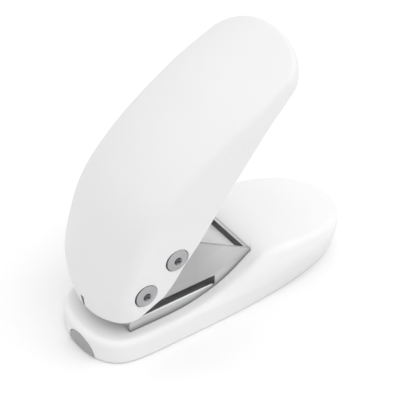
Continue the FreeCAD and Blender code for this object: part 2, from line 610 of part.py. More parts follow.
for name, (px, pz) in (("pivot_pin", PIVOT), ("drive_pin", DRIVE)):
    seat = SEAT[name]
    near = head_solid(px, pz, -seat, -1)
    shank = cyl_y(PIN_R, px, pz, -seat - 0.1, seat - 0.6)
    put(name, near.fuse(shank).removeSplitter())
    far = head_solid(px, pz, seat, 1)
    socket = cyl_y(PIN_R, px, pz, seat - 0.6, seat + 0.1)
    put(name + "_cap", far.fuse(socket).removeSplitter())

ws = []
for s in (-1, 1):
    a, b = (FRAME_HALF + 0.05, LB_IN) if s > 0 else (-LB_IN, -FRAME_HALF - 0.05)
    ws.append(cyl_y(4.0, PIVOT[0], PIVOT[1], a, b).cut(cyl_y(PIN_R + 0.01, PIVOT[0], PIVOT[1], a - 1, b + 1)))
put("pivot_washers", Part.makeCompound(ws))

sp = []
for s in (-1, 1):
    a, b = (5.3, GB_OUT - 0.2) if s > 0 else (-GB_OUT + 0.2, -5.3)
    sp.append(cyl_y(2.9, DRIVE[0], DRIVE[1], a, b).cut(cyl_y(PIN_R + 0.01, DRIVE[0], DRIVE[1], a - 1, b + 1)))
put("drive_pin_spacers", Part.makeCompound(sp))

# ----------------------------------- punch ---------------------------------
pp = cyl_z(PUNCH_R, PUNCH_X, 0, PUNCH_TIP, CROSS_BOTTOM).fuse(cyl_z(1.6, PUNCH_X, 0, CROSS_BOTTOM - 0.5, CROSS_BOTTOM + 1.4))
# hollow ground tip
pp = pp.cut(cyl_y(6.0, PUNCH_X, PUNCH_TIP - 5.2, -5, 5))
put("punch_pin", pp.removeSplitter())

ch = box(PUNCH_X - 5.5, PUNCH_X + 5.5, -5.0, 5.0, CROSS_BOTTOM, CROSS_TOP)
ch = ch.makeFillet(1.2, [e for e in ch.Edges if e.BoundBox.ZLength > 5])
DRIVE_END = PIVOT[0] + R12 * math.cos(math.radians(A12 - LEVER_TRAVEL))
sx0, sx1 = DRIVE[0] - PIN_R - 0.25, DRIVE_END + PIN_R + 0.25
sz0, sz1 = DRIVE[1] - PIN_R - 0.08, DRIVE[1] + PIN_R + 0.30
cr = (sz1 - sz0) / 2
cross = rounded_xz([(sx0, sz0, cr * 0.98), (sx0, sz1, cr * 0.98), (sx1, sz1, cr * 0.98), (sx1, sz0, cr * 0.98)], -8, 8)
ch = ch.cut(cross)
ch = ch.cut(cyl_z(1.6, PUNCH_X, 0, CROSS_BOTTOM - 1, CROSS_BOTTOM + 1.41))
ch = ch.cut(cyl_y(0.5, PUNCH_X, CROSS_BOTTOM + 0.7, -8, 8))
put("punch_crosshead", ch)
parts["punch_pin"] = parts["punch_pin"].cut(cyl_y(0.5, PUNCH_X, CROSS_BOTTOM + 0.7, -8, 8))
put("punch_lock_pin", cyl_y(0.5, PUNCH_X, CROSS_BOTTOM + 0.7, -4.9, 4.9))

put("spring_washer", cyl_z(5.9, PUNCH_X, 0, SPRING_HIGH, CROSS_BOTTOM).cut(cyl_z(PUNCH_R + 0.03, PUNCH_X, 0, SPRING_HIGH - 1, CROSS_BOTTOM + 1)))

# return spring
z0 = SPRING_LOW + SPRING_WIRE_R + 0.02
z1 = SPRING_HIGH - SPRING_WIRE_R - 0.02
n_sec = int(SPRING_TURNS * 20)


def wire_section(i):
    """12-sided section of the wire in the plane through the spring's axis"""
    a = 2 * math.pi * SPRING_TURNS * i / n_sec
    ring = []
    for k in range(12):
        q = 2 * math.pi * (k + 0.5) / 12
        rr = SPRING_MEAN_R + SPRING_WIRE_R * math.cos(q)
        ring.append(V(rr * math.cos(a), rr * math.sin(a), (z1 - z0) * i / n_sec + SPRING_WIRE_R * math.sin(q)))
    return Part.makePolygon(ring + [ring[0]])


spg = Part.makeLoft([wire_section(i) for i in range(n_sec + 1)], True, True)
spg.translate(V(PUNCH_X, 0, z0))
put("return_spring", spg)

# ----------------------------------- write ---------------------------------
os.makedirs("parts", exist_ok=True)
for k in sorted(parts):
    s = parts[k]
    if s.ShapeType == "Compound":
        sol = s.Solids
    else:
        sol = s.Solids
    bb = s.BoundBox
    print("%-20s solids %d valid %s vol %9.2f  x %7.2f %7.2f  y %7.2f %7.2f  z %7.2f %7.2f" % (
        k, len(sol), s.isValid(), s.Volume, bb.XMin, bb.XMax, bb.YMin, bb.YMax, bb.ZMin, bb.ZMax))
    if len(sol) == 1:
        sol[0].exportStep("parts/%s.step" % k)
    else:
        Part.makeCompound(sol).exportStep("parts/%s.step" % k)
print(len(parts), "nodes")
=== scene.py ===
import bpy
import bmesh
import json
import math
import numpy as np
from mathutils import Vector, Matrix
from mathutils.bvhtree import BVHTree


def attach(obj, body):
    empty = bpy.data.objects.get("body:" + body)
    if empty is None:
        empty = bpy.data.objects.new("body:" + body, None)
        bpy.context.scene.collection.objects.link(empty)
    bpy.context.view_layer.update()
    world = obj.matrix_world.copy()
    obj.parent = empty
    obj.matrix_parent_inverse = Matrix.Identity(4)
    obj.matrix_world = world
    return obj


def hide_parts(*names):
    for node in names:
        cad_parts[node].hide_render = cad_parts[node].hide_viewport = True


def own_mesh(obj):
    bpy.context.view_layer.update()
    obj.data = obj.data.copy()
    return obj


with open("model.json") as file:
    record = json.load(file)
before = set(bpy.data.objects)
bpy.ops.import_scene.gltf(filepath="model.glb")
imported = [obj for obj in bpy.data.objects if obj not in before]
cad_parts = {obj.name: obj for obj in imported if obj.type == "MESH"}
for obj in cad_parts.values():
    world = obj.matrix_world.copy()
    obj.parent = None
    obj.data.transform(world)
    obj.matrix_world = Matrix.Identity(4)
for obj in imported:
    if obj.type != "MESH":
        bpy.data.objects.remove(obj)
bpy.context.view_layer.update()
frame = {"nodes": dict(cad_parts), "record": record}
NODES = frame["nodes"]
MM = 0.001


# ---------------------------------------------------------------------------
# helpers: all shapes below are worked out in millimetres, in the CAD frame
# ---------------------------------------------------------------------------

def new_object(name, verts, faces):
    me = bpy.data.meshes.new(name)
    me.from_pydata([(float(v[0]) * MM, float(v[1]) * MM, float(v[2]) * MM) for v in verts], [],
                   [tuple(int(k) for k in f) for f in faces])
    me.update()
    ob = bpy.data.objects.new(name, me)
    bpy.context.scene.collection.objects.link(ob)
    return ob


def clean(ob, dist=1e-6, recalc=True):
    bm = bmesh.new()
    bm.from_mesh(ob.data)
    bmesh.ops.remove_doubles(bm, verts=bm.verts, dist=dist)
    bmesh.ops.dissolve_degenerate(bm, edges=bm.edges, dist=dist * 0.5)
    loose = [v for v in bm.verts if not v.link_faces]
    if loose:
        bmesh.ops.delete(bm, geom=loose, context="VERTS")
    if recalc:
        bmesh.ops.recalc_face_normals(bm, faces=bm.faces)
    bm.to_mesh(ob.data)
    bm.free()
    ob.data.update()
    return ob


def volume(ob):
    bm = bmesh.new()
    bm.from_mesh(ob.data)
    v = bm.calc_volume(signed=True)
    bm.free()
    return v


def outward(ob):
    """closed mesh with its faces turned outwards"""
    clean(ob)
    if volume(ob) < 0:
        bm = bmesh.new()
        bm.from_mesh(ob.data)
        bmesh.ops.reverse_faces(bm, faces=bm.faces)
        bm.to_mesh(ob.data)
        bm.free()
        ob.data.update()
    return ob


def boolean(ob, tools, operation):
    """ob with each tool added, removed or kept; the tools are used up"""
    for t in tools:
        m = ob.modifiers.new("b", "BOOLEAN")
        m.operation = operation
        m.solver = "EXACT"
        m.object = t
    bpy.context.view_layer.update()
    dg = bpy.context.evaluated_depsgraph_get()
    me = bpy.data.meshes.new_from_object(ob.evaluated_get(dg))
    ob.modifiers.clear()
    old = ob.data
    ob.data = me
    me.name = ob.name
    bpy.data.meshes.remove(old)
    for t in tools:
        d = t.data
        bpy.data.objects.remove(t)
        bpy.data.meshes.remove(d)
    return ob


def prism(name, loop, axis, lo, hi):
    """closed prism: loop is a list of 2-D points square to the axis 'x', 'y' or 'z'"""
    n = len(loop)

    def p(q, h):
        return {"x": (h, q[0], q[1]), "y": (q[0], h, q[1]), "z": (q[0], q[1], h)}[axis]
    v = [p(q, lo) for q in loop] + [p(q, hi) for q in loop]
    f = [list(range(n)), list(range(2 * n - 1, n - 1, -1))]
    f += [[i, (i + 1) % n, n + (i + 1) % n, n + i] for i in range(n)]
    return outward(new_object(name, v, f))


def block(name, x0, x1, y0, y1, z0, z1):
    return prism(name, [(x0, y0), (x1, y0), (x1, y1), (x0, y1)], "z", z0, z1)


def rod(name, p0, p1, r, n=48):
    """closed cylinder between two points"""
    p0, p1 = np.array(p0, float), np.array(p1, float)
    d = p1 - p0
    d /= np.linalg.norm(d)
    a = np.cross(d, [0.0, 0.0, 1.0]) if abs(d[2]) < 0.9 else np.cross(d, [1.0, 0.0, 0.0])
    a /= np.linalg.norm(a)
    b = np.cross(d, a)
    t = 2 * math.pi * np.arange(n) / n
    ring = r * (np.cos(t)[:, None] * a + np.sin(t)[:, None] * b)
    v = list(p0 + ring) + list(p1 + ring)
    f = [list(range(n)), list(range(2 * n - 1, n - 1, -1))]
    f += [[i, (i + 1) % n, n + (i + 1) % n, n + i] for i in range(n)]
    return outward(new_object(name, v, f))


def lathe(name, profile, origin, axis, n=72):
    """solid of revolution: profile is (radius, height) from the axis to the axis; axis is a unit vector"""
    o, d = np.array(origin, float), np.array(axis, float)
    a = np.cross(d, [0.0, 0.0, 1.0]) if abs(d[2]) < 0.9 else np.cross(d, [1.0, 0.0, 0.0])
    a /= np.linalg.norm(a)
    b = np.cross(d, a)
    v, f = [], []
    t = 2 * math.pi * np.arange(n) / n
    for r, h in profile:
        v += list(o + d * h + r * (np.cos(t)[:, None] * a + np.sin(t)[:, None] * b))
    m = len(profile)
    for k in range(m - 1):
        for i in range(n):
            j = (i + 1) % n
            f.append([k * n + i, k * n + j, (k + 1) * n + j, (k + 1) * n + i])
    return outward(new_object(name, v, f))


def sharpen(ob, degrees=34):
    """smooth shading with edges over that angle kept sharp"""
    me = ob.data
    me.polygons.foreach_set("use_smooth", [True] * len(me.polygons))
    bm = bmesh.new()
    bm.from_mesh(me)
    lim = math.radians(degrees)
    for e in bm.edges:
        e.smooth = not (len(e.link_faces) != 2 or e.calc_face_angle(0.0) > lim)
    bm.to_mesh(me)
    bm.free()
    me.update()
    return ob


class Skin:
    """keeps the smooth surface of a mesh before it is cut, to give its shading back afterwards"""

    def __init__(self, ob):
        bm = bmesh.new()
        bm.from_mesh(ob.data)
        bmesh.ops.triangulate(bm, faces=bm.faces)
        bm.normal_update()
        self.co = [v.co.copy() for v in bm.verts]
        self.no = [v.normal.copy() for v in bm.verts]
        self.tri = [[v.index for v in f.verts] for f in bm.faces]
        self.fno = [f.normal.copy() for f in bm.faces]
        self.tree = BVHTree.FromPolygons(self.co, self.tri)
        bm.free()

    def normal_at(self, p, k):
        a, b, c = (self.co[i] for i in self.tri[k])
        na, nb, nc = (self.no[i] for i in self.tri[k])
        v0, v1, v2 = b - a, c - a, p - a
        d00, d01, d11 = v0.dot(v0), v0.dot(v1), v1.dot(v1)
        d20, d21 = v2.dot(v0), v2.dot(v1)
        den = d00 * d11 - d01 * d01
        if abs(den) < 1e-30:
            return na.copy()
        v = min(1.0, max(0.0, (d11 * d20 - d01 * d21) / den))
        w = min(1.0 - v, max(0.0, (d00 * d21 - d01 * d20) / den))
        n = na * (1 - v - w) + nb * v + nc * w
        return n.normalized()

    def give_back(self, ob, degrees=34, reach=6e-6):
        sharpen(ob, degrees)
        me = ob.data
        normals = [Vector(c.vector) for c in me.corner_normals]
        for poly in me.polygons:
            loc, no, k, d = self.tree.find_nearest(poly.center, 4e-5)
            if loc is None or self.fno[k].dot(poly.normal) < 0.93:
                continue
            hits = []
            for li in poly.loop_indices:
                p = me.vertices[me.loops[li].vertex_index].co
                loc, no, k, d = self.tree.find_nearest(p, reach)
                if loc is None:
                    hits = None
                    break
                hits.append((li, self.normal_at(p, k)))
            if hits:
                for li, n in hits:
                    if n.dot(poly.normal) > 0.6:
                        normals[li] = n
        me.normals_split_custom_set(normals)
        return ob


def finish_piece(ob, body, nodes, material):
    if nodes:
        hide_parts(*nodes)
    ob.data.materials.clear()
    ob.data.materials.append(material)
    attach(ob, body)
    return ob


def cubic(t, v):
    """natural cubic spline through the values v at the knots t"""
    t, v = np.asarray(t, float), np.asarray(v, float)
    if v.ndim == 1:
        v = v[:, None]
    n = len(t)
    h = np.diff(t)
    A, B = np.zeros((n, n)), np.zeros(v.shape)
    A[0, 0] = A[-1, -1] = 1
    for i in range(1, n - 1):
        A[i, i - 1], A[i, i], A[i, i + 1] = h[i - 1], 2 * (h[i - 1] + h[i]), h[i]
        B[i] = 6 * ((v[i + 1] - v[i]) / h[i] - (v[i] - v[i - 1]) / h[i - 1])
    M = np.linalg.solve(A, B)

    def f(x):
        x = np.asarray(x, float)
        k = np.clip(np.searchsorted(t, x) - 1, 0, n - 2)
        hh = h[k][..., None]
        a, b = (t[k + 1] - x)[..., None], (x - t[k])[..., None]
        return (M[k] * a ** 3 + M[k + 1] * b ** 3) / (6 * hh) + (v[k] / hh - M[k] * hh / 6) * a + (v[k + 1] / hh - M[k + 1] * hh / 6) * b
    return f


def grid_faces(index):
    """quads of a grid of vertex numbers"""
    out = []
    r, c = index.shape
    for i in range(r - 1):
        for j in range(c - 1):
            q = [index[i, j], index[i, j + 1], index[i + 1, j + 1], index[i + 1, j]]
            out.append(q)
    return out


# ---------------------------------------------------------------------------
# materials
# ---------------------------------------------------------------------------

def material(name):
    m = bpy.data.materials.new(name)
    m.use_nodes = True
    nt = m.node_tree
    for n in list(nt.nodes):
        nt.nodes.remove(n)
    out = nt.nodes.new("ShaderNodeOutputMaterial")
    sh = nt.nodes.new("ShaderNodeBsdfPrincipled")
    nt.links.new(sh.outputs["BSDF"], out.inputs["Surface"])
    tc = nt.nodes.new("ShaderNodeTexCoord")
    return m, nt, sh, tc


def mapping(nt, tc, scale=(1, 1, 1), rotation=(0, 0, 0)):
    mp = nt.nodes.new("ShaderNodeMapping")
    mp.inputs["Scale"].default_value = scale
    mp.inputs["Rotation"].default_value = rotation
    nt.links.new(tc.outputs["Object"], mp.inputs["Vector"])
    return mp


def noise(nt, vec, scale, detail=3.0, rough=0.5):
    n = nt.nodes.new("ShaderNodeTexNoise")
    n.inputs["Scale"].default_value = scale
    n.inputs["Detail"].default_value = detail
    n.inputs["Roughness"].default_value = rough
    nt.links.new(vec.outputs[0] if vec.bl_idname != "ShaderNodeTexCoord" else vec.outputs["Object"], n.inputs["Vector"])
    return n


def ramp(nt, src, stops):
    r = nt.nodes.new("ShaderNodeValToRGB")
    r.color_ramp.elements[0].position, r.color_ramp.elements[0].color = stops[0][0], tuple(stops[0][1]) + (1,)
    r.color_ramp.elements[1].position, r.color_ramp.elements[1].color = stops[-1][0], tuple(stops[-1][1]) + (1,)
    for p, c in stops[1:-1]:
        e = r.color_ramp.elements.new(p)
        e.color = tuple(c) + (1,)
    nt.links.new(src, r.inputs["Fac"])
    return r


def span(nt, src, lo, hi, a=0.3, b=0.7):
    m = nt.nodes.new("ShaderNodeMapRange")
    m.inputs["From Min"].default_value = a
    m.inputs["From Max"].default_value = b
    m.inputs["To Min"].default_value = lo
    m.inputs["To Max"].default_value = hi
    nt.links.new(src, m.inputs["Value"])
    return m


def bump(nt, sh, height, strength, distance):
    b = nt.nodes.new("ShaderNodeBump")
    b.inputs["Strength"].default_value = strength
    b.inputs["Distance"].default_value = distance
    nt.links.new(height, b.inputs["Height"])
    nt.links.new(b.outputs["Normal"], sh.inputs["Normal"])
    return b


def plastic(name, colour, shade=0.02, rough=(0.34, 0.44), grain=0.00001, coat=0.0):
    """moulded plastic: faint cloudiness in the colour, a fine moulding grain, slightly uneven gloss"""
    m, nt, sh, tc = material(name)
    big = noise(nt, tc, 45.0, 2.0)
    lo = [max(0.0, c - shade) for c in colour]
    cr = ramp(nt, big.outputs["Fac"], [(0.3, lo), (0.7, colour)])
    nt.links.new(cr.outputs["Color"], sh.inputs["Base Color"])
    mid = noise(nt, tc, 260.0, 3.0)
    rr = span(nt, mid.outputs["Fac"], rough[0], rough[1])
    nt.links.new(rr.outputs["Result"], sh.inputs["Roughness"])
    fine = noise(nt, tc, 2600.0, 2.0, 0.6)
    bump(nt, sh, fine.outputs["Fac"], 0.35, grain)
    sh.inputs["IOR"].default_value = 1.47
    if coat:
        sh.inputs["Coat Weight"].default_value = coat
        sh.inputs["Coat Roughness"].default_value = 0.2
    return m


def steel(name, colour, rough=(0.2, 0.34), streak=(60, 900, 900), rotation=(0, 0, 0), depth=0.000006, shade=0.08, strength=0.25):
    """rolled sheet steel: fine streaks along one direction, with faint patches"""
    m, nt, sh, tc = material(name)
    mp = mapping(nt, tc, streak, rotation)
    st = noise(nt, mp, 1.0, 4.0, 0.65)
    patch = noise(nt, tc, 120.0, 3.0, 0.6)
    mix = nt.nodes.new("ShaderNodeMath")
    mix.operation = "MULTIPLY_ADD"
    mix.inputs[1].default_value = 0.65
    nt.links.new(st.outputs["Fac"], mix.inputs[0])
    half = nt.nodes.new("ShaderNodeMath")
    half.operation = "MULTIPLY"
    half.inputs[1].default_value = 0.35
    nt.links.new(patch.outputs["Fac"], half.inputs[0])
    nt.links.new(half.outputs[0], mix.inputs[2])
    lo = [max(0.0, c - shade) for c in colour]
    hi = [min(1.0, c + shade * 0.6) for c in colour]
    cr = ramp(nt, mix.outputs[0], [(0.32, lo), (0.68, hi)])
    nt.links.new(cr.outputs["Color"], sh.inputs["Base Color"])
    sh.inputs["Metallic"].default_value = 1.0
    rr = span(nt, mix.outputs[0], rough[0], rough[1], 0.32, 0.68)
    nt.links.new(rr.outputs["Result"], sh.inputs["Roughness"])
    bump(nt, sh, st.outputs["Fac"], strength, depth)
    return m


def multiply(nt, a, b):
    both = nt.nodes.new("ShaderNodeMix")
    both.data_type = "RGBA"
    both.blend_type = "MULTIPLY"
    both.inputs[0].default_value = 1.0
    nt.links.new(a, both.inputs[6])
    nt.links.new(b, both.inputs[7])
    return both.outputs[2]


def paint_foot_and_lever_shade(m, line):
    """painted shade on the sheet: darker down to the line z(x), as if it rolled under where it leaves the moulding, and
    a painted shadow of the lever on the wall in its lee
    """
    nt = m.node_tree
    sh = [q for q in nt.nodes if q.bl_idname == "ShaderNodeBsdfPrincipled"][0]
    tc = [q for q in nt.nodes if q.bl_idname == "ShaderNodeTexCoord"][0]
    base = sh.inputs["Base Color"].links[0].from_socket
    sep = nt.nodes.new("ShaderNodeSeparateXYZ")
    nt.links.new(tc.outputs["Object"], sep.inputs[0])
    x0, x1 = line[0][0], line[-1][0]
    along = span(nt, sep.outputs["X"], 0.0, 1.0, x0 * MM, x1 * MM)
    rise = ramp(nt, along.outputs["Result"], [((x - x0) / (x1 - x0), (z / 25.0,) * 3) for x, z in line])
    h = nt.nodes.new("ShaderNodeMath")
    h.operation = "MULTIPLY_ADD"
    h.inputs[1].default_value = -25.0 * MM
    nt.links.new(rise.outputs["Color"], h.inputs[0])
    nt.links.new(sep.outputs["Z"], h.inputs[2])
    unit = span(nt, h.outputs[0], 0.0, 1.0, 0.0, 8.0 * MM)
    # painted shade down the wall's foot, standing in for a bend that turns away from the light
    low = ramp(nt, unit.outputs["Result"], [(q / 8.0, (c,) * 3) for q, c in
                                            ((0.0, 0.44), (0.5, 0.56), (1.2, 0.76), (1.7, 0.90), (2.2, 0.97), (3.0, 1.0), (4.2, 1.0), (8.0, 0.95))])
    # painted shadow of the lever: high up on the wall and towards the front
    up = span(nt, h.outputs[0], 0.0, 1.0, 4.6 * MM, 6.0 * MM)
    fore = span(nt, sep.outputs["X"], 1.0, 0.0, -14.0 * MM, -1.0 * MM)
    lever_shadow_mask = nt.nodes.new("ShaderNodeMath")
    lever_shadow_mask.operation = "MULTIPLY"
    nt.links.new(up.outputs["Result"], lever_shadow_mask.inputs[0])
    nt.links.new(fore.outputs["Result"], lever_shadow_mask.inputs[1])
    soft = span(nt, lever_shadow_mask.outputs[0], 1.0, 0.74, 0.0, 1.0)
    out_y = nt.nodes.new("ShaderNodeMath")
    out_y.operation = "ABSOLUTE"
    nt.links.new(sep.outputs["Y"], out_y.inputs[0])
    # the painted foot shade is kept to the outer walls
    wall = span(nt, out_y.outputs[0], 0.0, 1.0, 10.9 * MM, 11.6 * MM)
    mix = nt.nodes.new("ShaderNodeMix")
    mix.data_type = "FLOAT"
    mix.inputs[2].default_value = 1.0
    nt.links.new(wall.outputs["Result"], mix.inputs[0])
    nt.links.new(low.outputs["Color"], mix.inputs[3])
    nt.links.new(multiply(nt, multiply(nt, base, mix.outputs[0]), soft.outputs["Result"]), sh.inputs["Base Color"])
    return m


def paint_ledge_light_and_low_shade(m):
    """painted light and shade on the moulding: a little darker down its rear sides, and painted lighter on the front
    ledge
    """
    nt = m.node_tree
    sh = [q for q in nt.nodes if q.bl_idname == "ShaderNodeBsdfPrincipled"][0]
    tc = [q for q in nt.nodes if q.bl_idname == "ShaderNodeTexCoord"][0]
    base = sh.inputs["Base Color"].links[0].from_socket
    sep = nt.nodes.new("ShaderNodeSeparateXYZ")
    nt.links.new(tc.outputs["Object"], sep.inputs[0])
    fore = span(nt, sep.outputs["X"], 1.0, 0.0, -10.0 * MM, 26.0 * MM)
    # painted light: the front ledge up to 4.5 % lighter
    ledge = span(nt, sep.outputs["Z"], 0.975, 1.045, 7.0 * MM, 8.2 * MM)
    # painted shade: the rear sides up to 10 % darker low down
    rear = span(nt, sep.outputs["Z"], 0.90, 1.0, 9.0 * MM, 15.0 * MM)
    mix = nt.nodes.new("ShaderNodeMix")
    mix.data_type = "FLOAT"
    nt.links.new(fore.outputs["Result"], mix.inputs[0])
    nt.links.new(rear.outputs["Result"], mix.inputs[2])
    nt.links.new(ledge.outputs["Result"], mix.inputs[3])
    nt.links.new(multiply(nt, base, mix.outputs[0]), sh.inputs["Base Color"])


def chrome(name, axes, colour=(0.45, 0.45, 0.46), rough=(0.06, 0.14)):
    """bright plated rivet: nearly mirror, with light wear in the gloss, and painted shade in the dimple and down the
    rim's side
    """
    m, nt, sh, tc = material(name)
    big = noise(nt, tc, 350.0, 4.0, 0.6)
    lo = [c - 0.06 for c in colour]
    cr = ramp(nt, big.outputs["Fac"], [(0.3, lo), (0.7, colour)])
    flat = nt.nodes.new("ShaderNodeVectorMath")
    flat.operation = "MULTIPLY"
    flat.inputs[1].default_value = (1.0, 0.0, 1.0)
    nt.links.new(tc.outputs["Object"], flat.inputs[0])

    def reach(dx, dz):
        """distance from the nearer pin axis, measured from a centre shifted by (dx, dz)"""
        near = None
        for px, pz in axes:
            d = nt.nodes.new("ShaderNodeVectorMath")
            d.operation = "DISTANCE"
            d.inputs[1].default_value = ((px + dx) * MM, 0.0, (pz + dz) * MM)
            nt.links.new(flat.outputs["Vector"], d.inputs[0])
            if near is None:
                near = d.outputs["Value"]
            else:
                mn = nt.nodes.new("ShaderNodeMath")
                mn.operation = "MINIMUM"
                nt.links.new(near, mn.inputs[0])
                nt.links.new(d.outputs["Value"], mn.inputs[1])
                near = mn.outputs[0]
        return near

    last = cr.outputs["Color"]
    # painted shade: the dimple darkened as a shaded hollow, and a dark ring round the rim, thicker to the upper left
    # like a shadow line
    for near, stops in ((reach(0.0, 0.0), ((0.0, 0.22), (0.20, 0.26), (0.30, 0.45), (0.38, 1.0), (1.0, 1.0))),
                        (reach(0.26, -0.12), ((0.0, 1.0), (0.925, 1.0), (0.955, 0.28), (1.0, 0.18)))):
        painted_shade_ramp = nt.nodes.new("ShaderNodeValToRGB")
        el = painted_shade_ramp.color_ramp.elements
        el[0].position, el[0].color = stops[0][0], (stops[0][1],) * 3 + (1,)
        el[1].position, el[1].color = stops[-1][0], (stops[-1][1],) * 3 + (1,)
        for q, c in stops[1:-1]:
            el.new(q).color = (c, c, c, 1)
        unit = span(nt, near, 0.0, 1.0, 0.0, 0.004)
        nt.links.new(unit.outputs["Result"], painted_shade_ramp.inputs["Fac"])
        last = multiply(nt, last, painted_shade_ramp.outputs["Color"])
    nt.links.new(last, sh.inputs["Base Color"])
    sh.inputs["Metallic"].default_value = 1.0
    rr = span(nt, big.outputs["Fac"], rough[0], rough[1])
    nt.links.new(rr.outputs["Result"], sh.inputs["Roughness"])
    fine = noise(nt, tc, 1500.0, 2.0)
    bump(nt, sh, fine.outputs["Fac"], 0.12, 0.000004)
    return m


M_LEVER = plastic("white_plastic_lever", (0.85, 0.85, 0.853), 0.012, (0.36, 0.44))
M_BASE = plastic("white_plastic_base", (0.905, 0.905, 0.907), 0.012, (0.38, 0.46))
M_TAB = plastic("grey_plastic_cover", (0.40, 0.40, 0.405), 0.03, (0.45, 0.56), 0.00002)
M_MARK = plastic("dark_mark", (0.075, 0.075, 0.08), 0.02, (0.4, 0.55))
M_WASHER = plastic("white_washer", (0.80, 0.80, 0.79), 0.03, (0.4, 0.5))
M_CROSS = plastic("black_moulding", (0.05, 0.05, 0.052), 0.015, (0.38, 0.52), 0.00002)
# the rivets carry painted shade in their dimples and round their rims
M_PIN = chrome("plated_rivet", ((-35.0, 25.46), (-24.24, 34.71)))
M_FRAME = steel("frame_sheet", (0.67, 0.67, 0.675), (0.40, 0.48), (140, 900, 900), depth=0.000004, shade=0.035, strength=0.1)
# painted light on the base's front ledge and painted shade down its rear sides
paint_ledge_light_and_low_shade(M_BASE)
# painted shade down the frame's walls and a painted shadow under the lever
paint_foot_and_lever_shade(M_FRAME, ((-52, 8.5), (-27, 8.4), (-20, 8.6), (-14.5, 9.3), (-10, 10.35), (-5, 12), (0, 14.5), (4, 17.1), (7.6, 19.45), (10.5, 20.5), (16, 20.75)))
M_PLATE = steel("cover_plate_sheet", (0.96, 0.96, 0.962), (0.36, 0.46), (140, 900, 900), depth=0.000004, shade=0.04, strength=0.12)
M_BRACKET = steel("bracket_sheet", (0.60, 0.60, 0.61), (0.26, 0.4), (900, 140, 900), depth=0.000006)
M_SCREW = steel("screw_steel", (0.62, 0.61, 0.58), (0.2, 0.34), (700, 700, 700), depth=0.000004)
M_SPACER = steel("spacer_steel", (0.66, 0.66, 0.67), (0.18, 0.3), (900, 120, 900), depth=0.000004)
M_PUNCH = steel("tool_steel", (0.55, 0.55, 0.57), (0.14, 0.26), (900, 900, 160), depth=0.000004)
M_SPRING = steel("spring_wire", (0.58, 0.58, 0.60), (0.16, 0.28), (500, 500, 500), depth=0.000003)


# ---------------------------------------------------------------------------
# lever: a domed shell with deep side walls
# ---------------------------------------------------------------------------

PIVOT, DRIVE = (-35.0, 25.46), (-24.24, 34.71)
SEAT = {"pivot": 17.5, "drive": 18.15}
ST = np.array([
    (-45.9, 13.3, -28.2, 21.5, 17.55, 26, 8.0, 0.05), (-46.9, 18.6, -26.6, 23.3, 17.7, 32, 5.6, 0.05),
    (-47.0, 23.5, -25.0, 25.2, 17.9, 36, 4.6, 0.05), (-46.3, 28.5, -23.2, 27.8, 18.1, 39, 4.2, 0.05),
    (-45.0, 33.6, -21.6, 30.5, 18.4, 41, 4.3, 0.05), (-43.0, 39.5, -19.4, 33.5, 18.7, 44, 4.4, 0.05),
    (-39.7, 47.2, -16.3, 38.0, 19.2, 48, 4.5, 0.05), (-34.6, 54.5, -12.7, 43.9, 19.8, 51, 4.7, 0.05),
    (-28.2, 60.8, -9.1, 49.6, 20.3, 54, 4.8, 0.05), (-19.2, 68.0, -4.1, 56.9, 20.7, 56, 4.8, 0.05),
    (-10.1, 74.0, 1.5, 64.2, 20.9, 58, 4.8, 0.05), (-1.0, 79.4, 6.7, 70.6, 20.9, 59, 4.3, 0.4),
    (7.9, 83.8, 12.4, 75.8, 20.5, 59, 3.4, 1.2), (15.5, 87.3, 18.4, 80.8, 20.1, 59, 2.2, 2.4),
    (23.2, 90.6, 25.3, 85.8, 20.0, 59, 1.4, 3.3), (28.0, 92.7, 29.9, 88.3, 20.0, 59, 1.2, 3.4)], float)
KNOT = np.concatenate([[0.0], np.cumsum(np.hypot(np.diff(ST[:, 0]), np.diff(ST[:, 1])))])
LEV = cubic(KNOT, ST)
TIP_ANG, TIP_END, TIP_LONG, TIP_HALF = math.radians(23.9), (23.16, 90.8), 10.9, 19.75
WALL, RIM = 2.0, 0.42


def lever_point(s, a, y):
    """point at the depth a under the crown line, at the place s along it and y across"""
    q = LEV(s)
    d = q[..., 2:4] - q[..., 0:2]
    d /= np.linalg.norm(d, axis=-1, keepdims=True)
    return np.stack([q[..., 0] + a * d[..., 0], y + 0 * s, q[..., 1] + a * d[..., 1]], -1)


def tip_u(s):
    q = LEV(s)
    return (q[..., 0] - TIP_END[0]) * math.cos(TIP_ANG) + (q[..., 1] - TIP_END[1]) * math.sin(TIP_ANG)


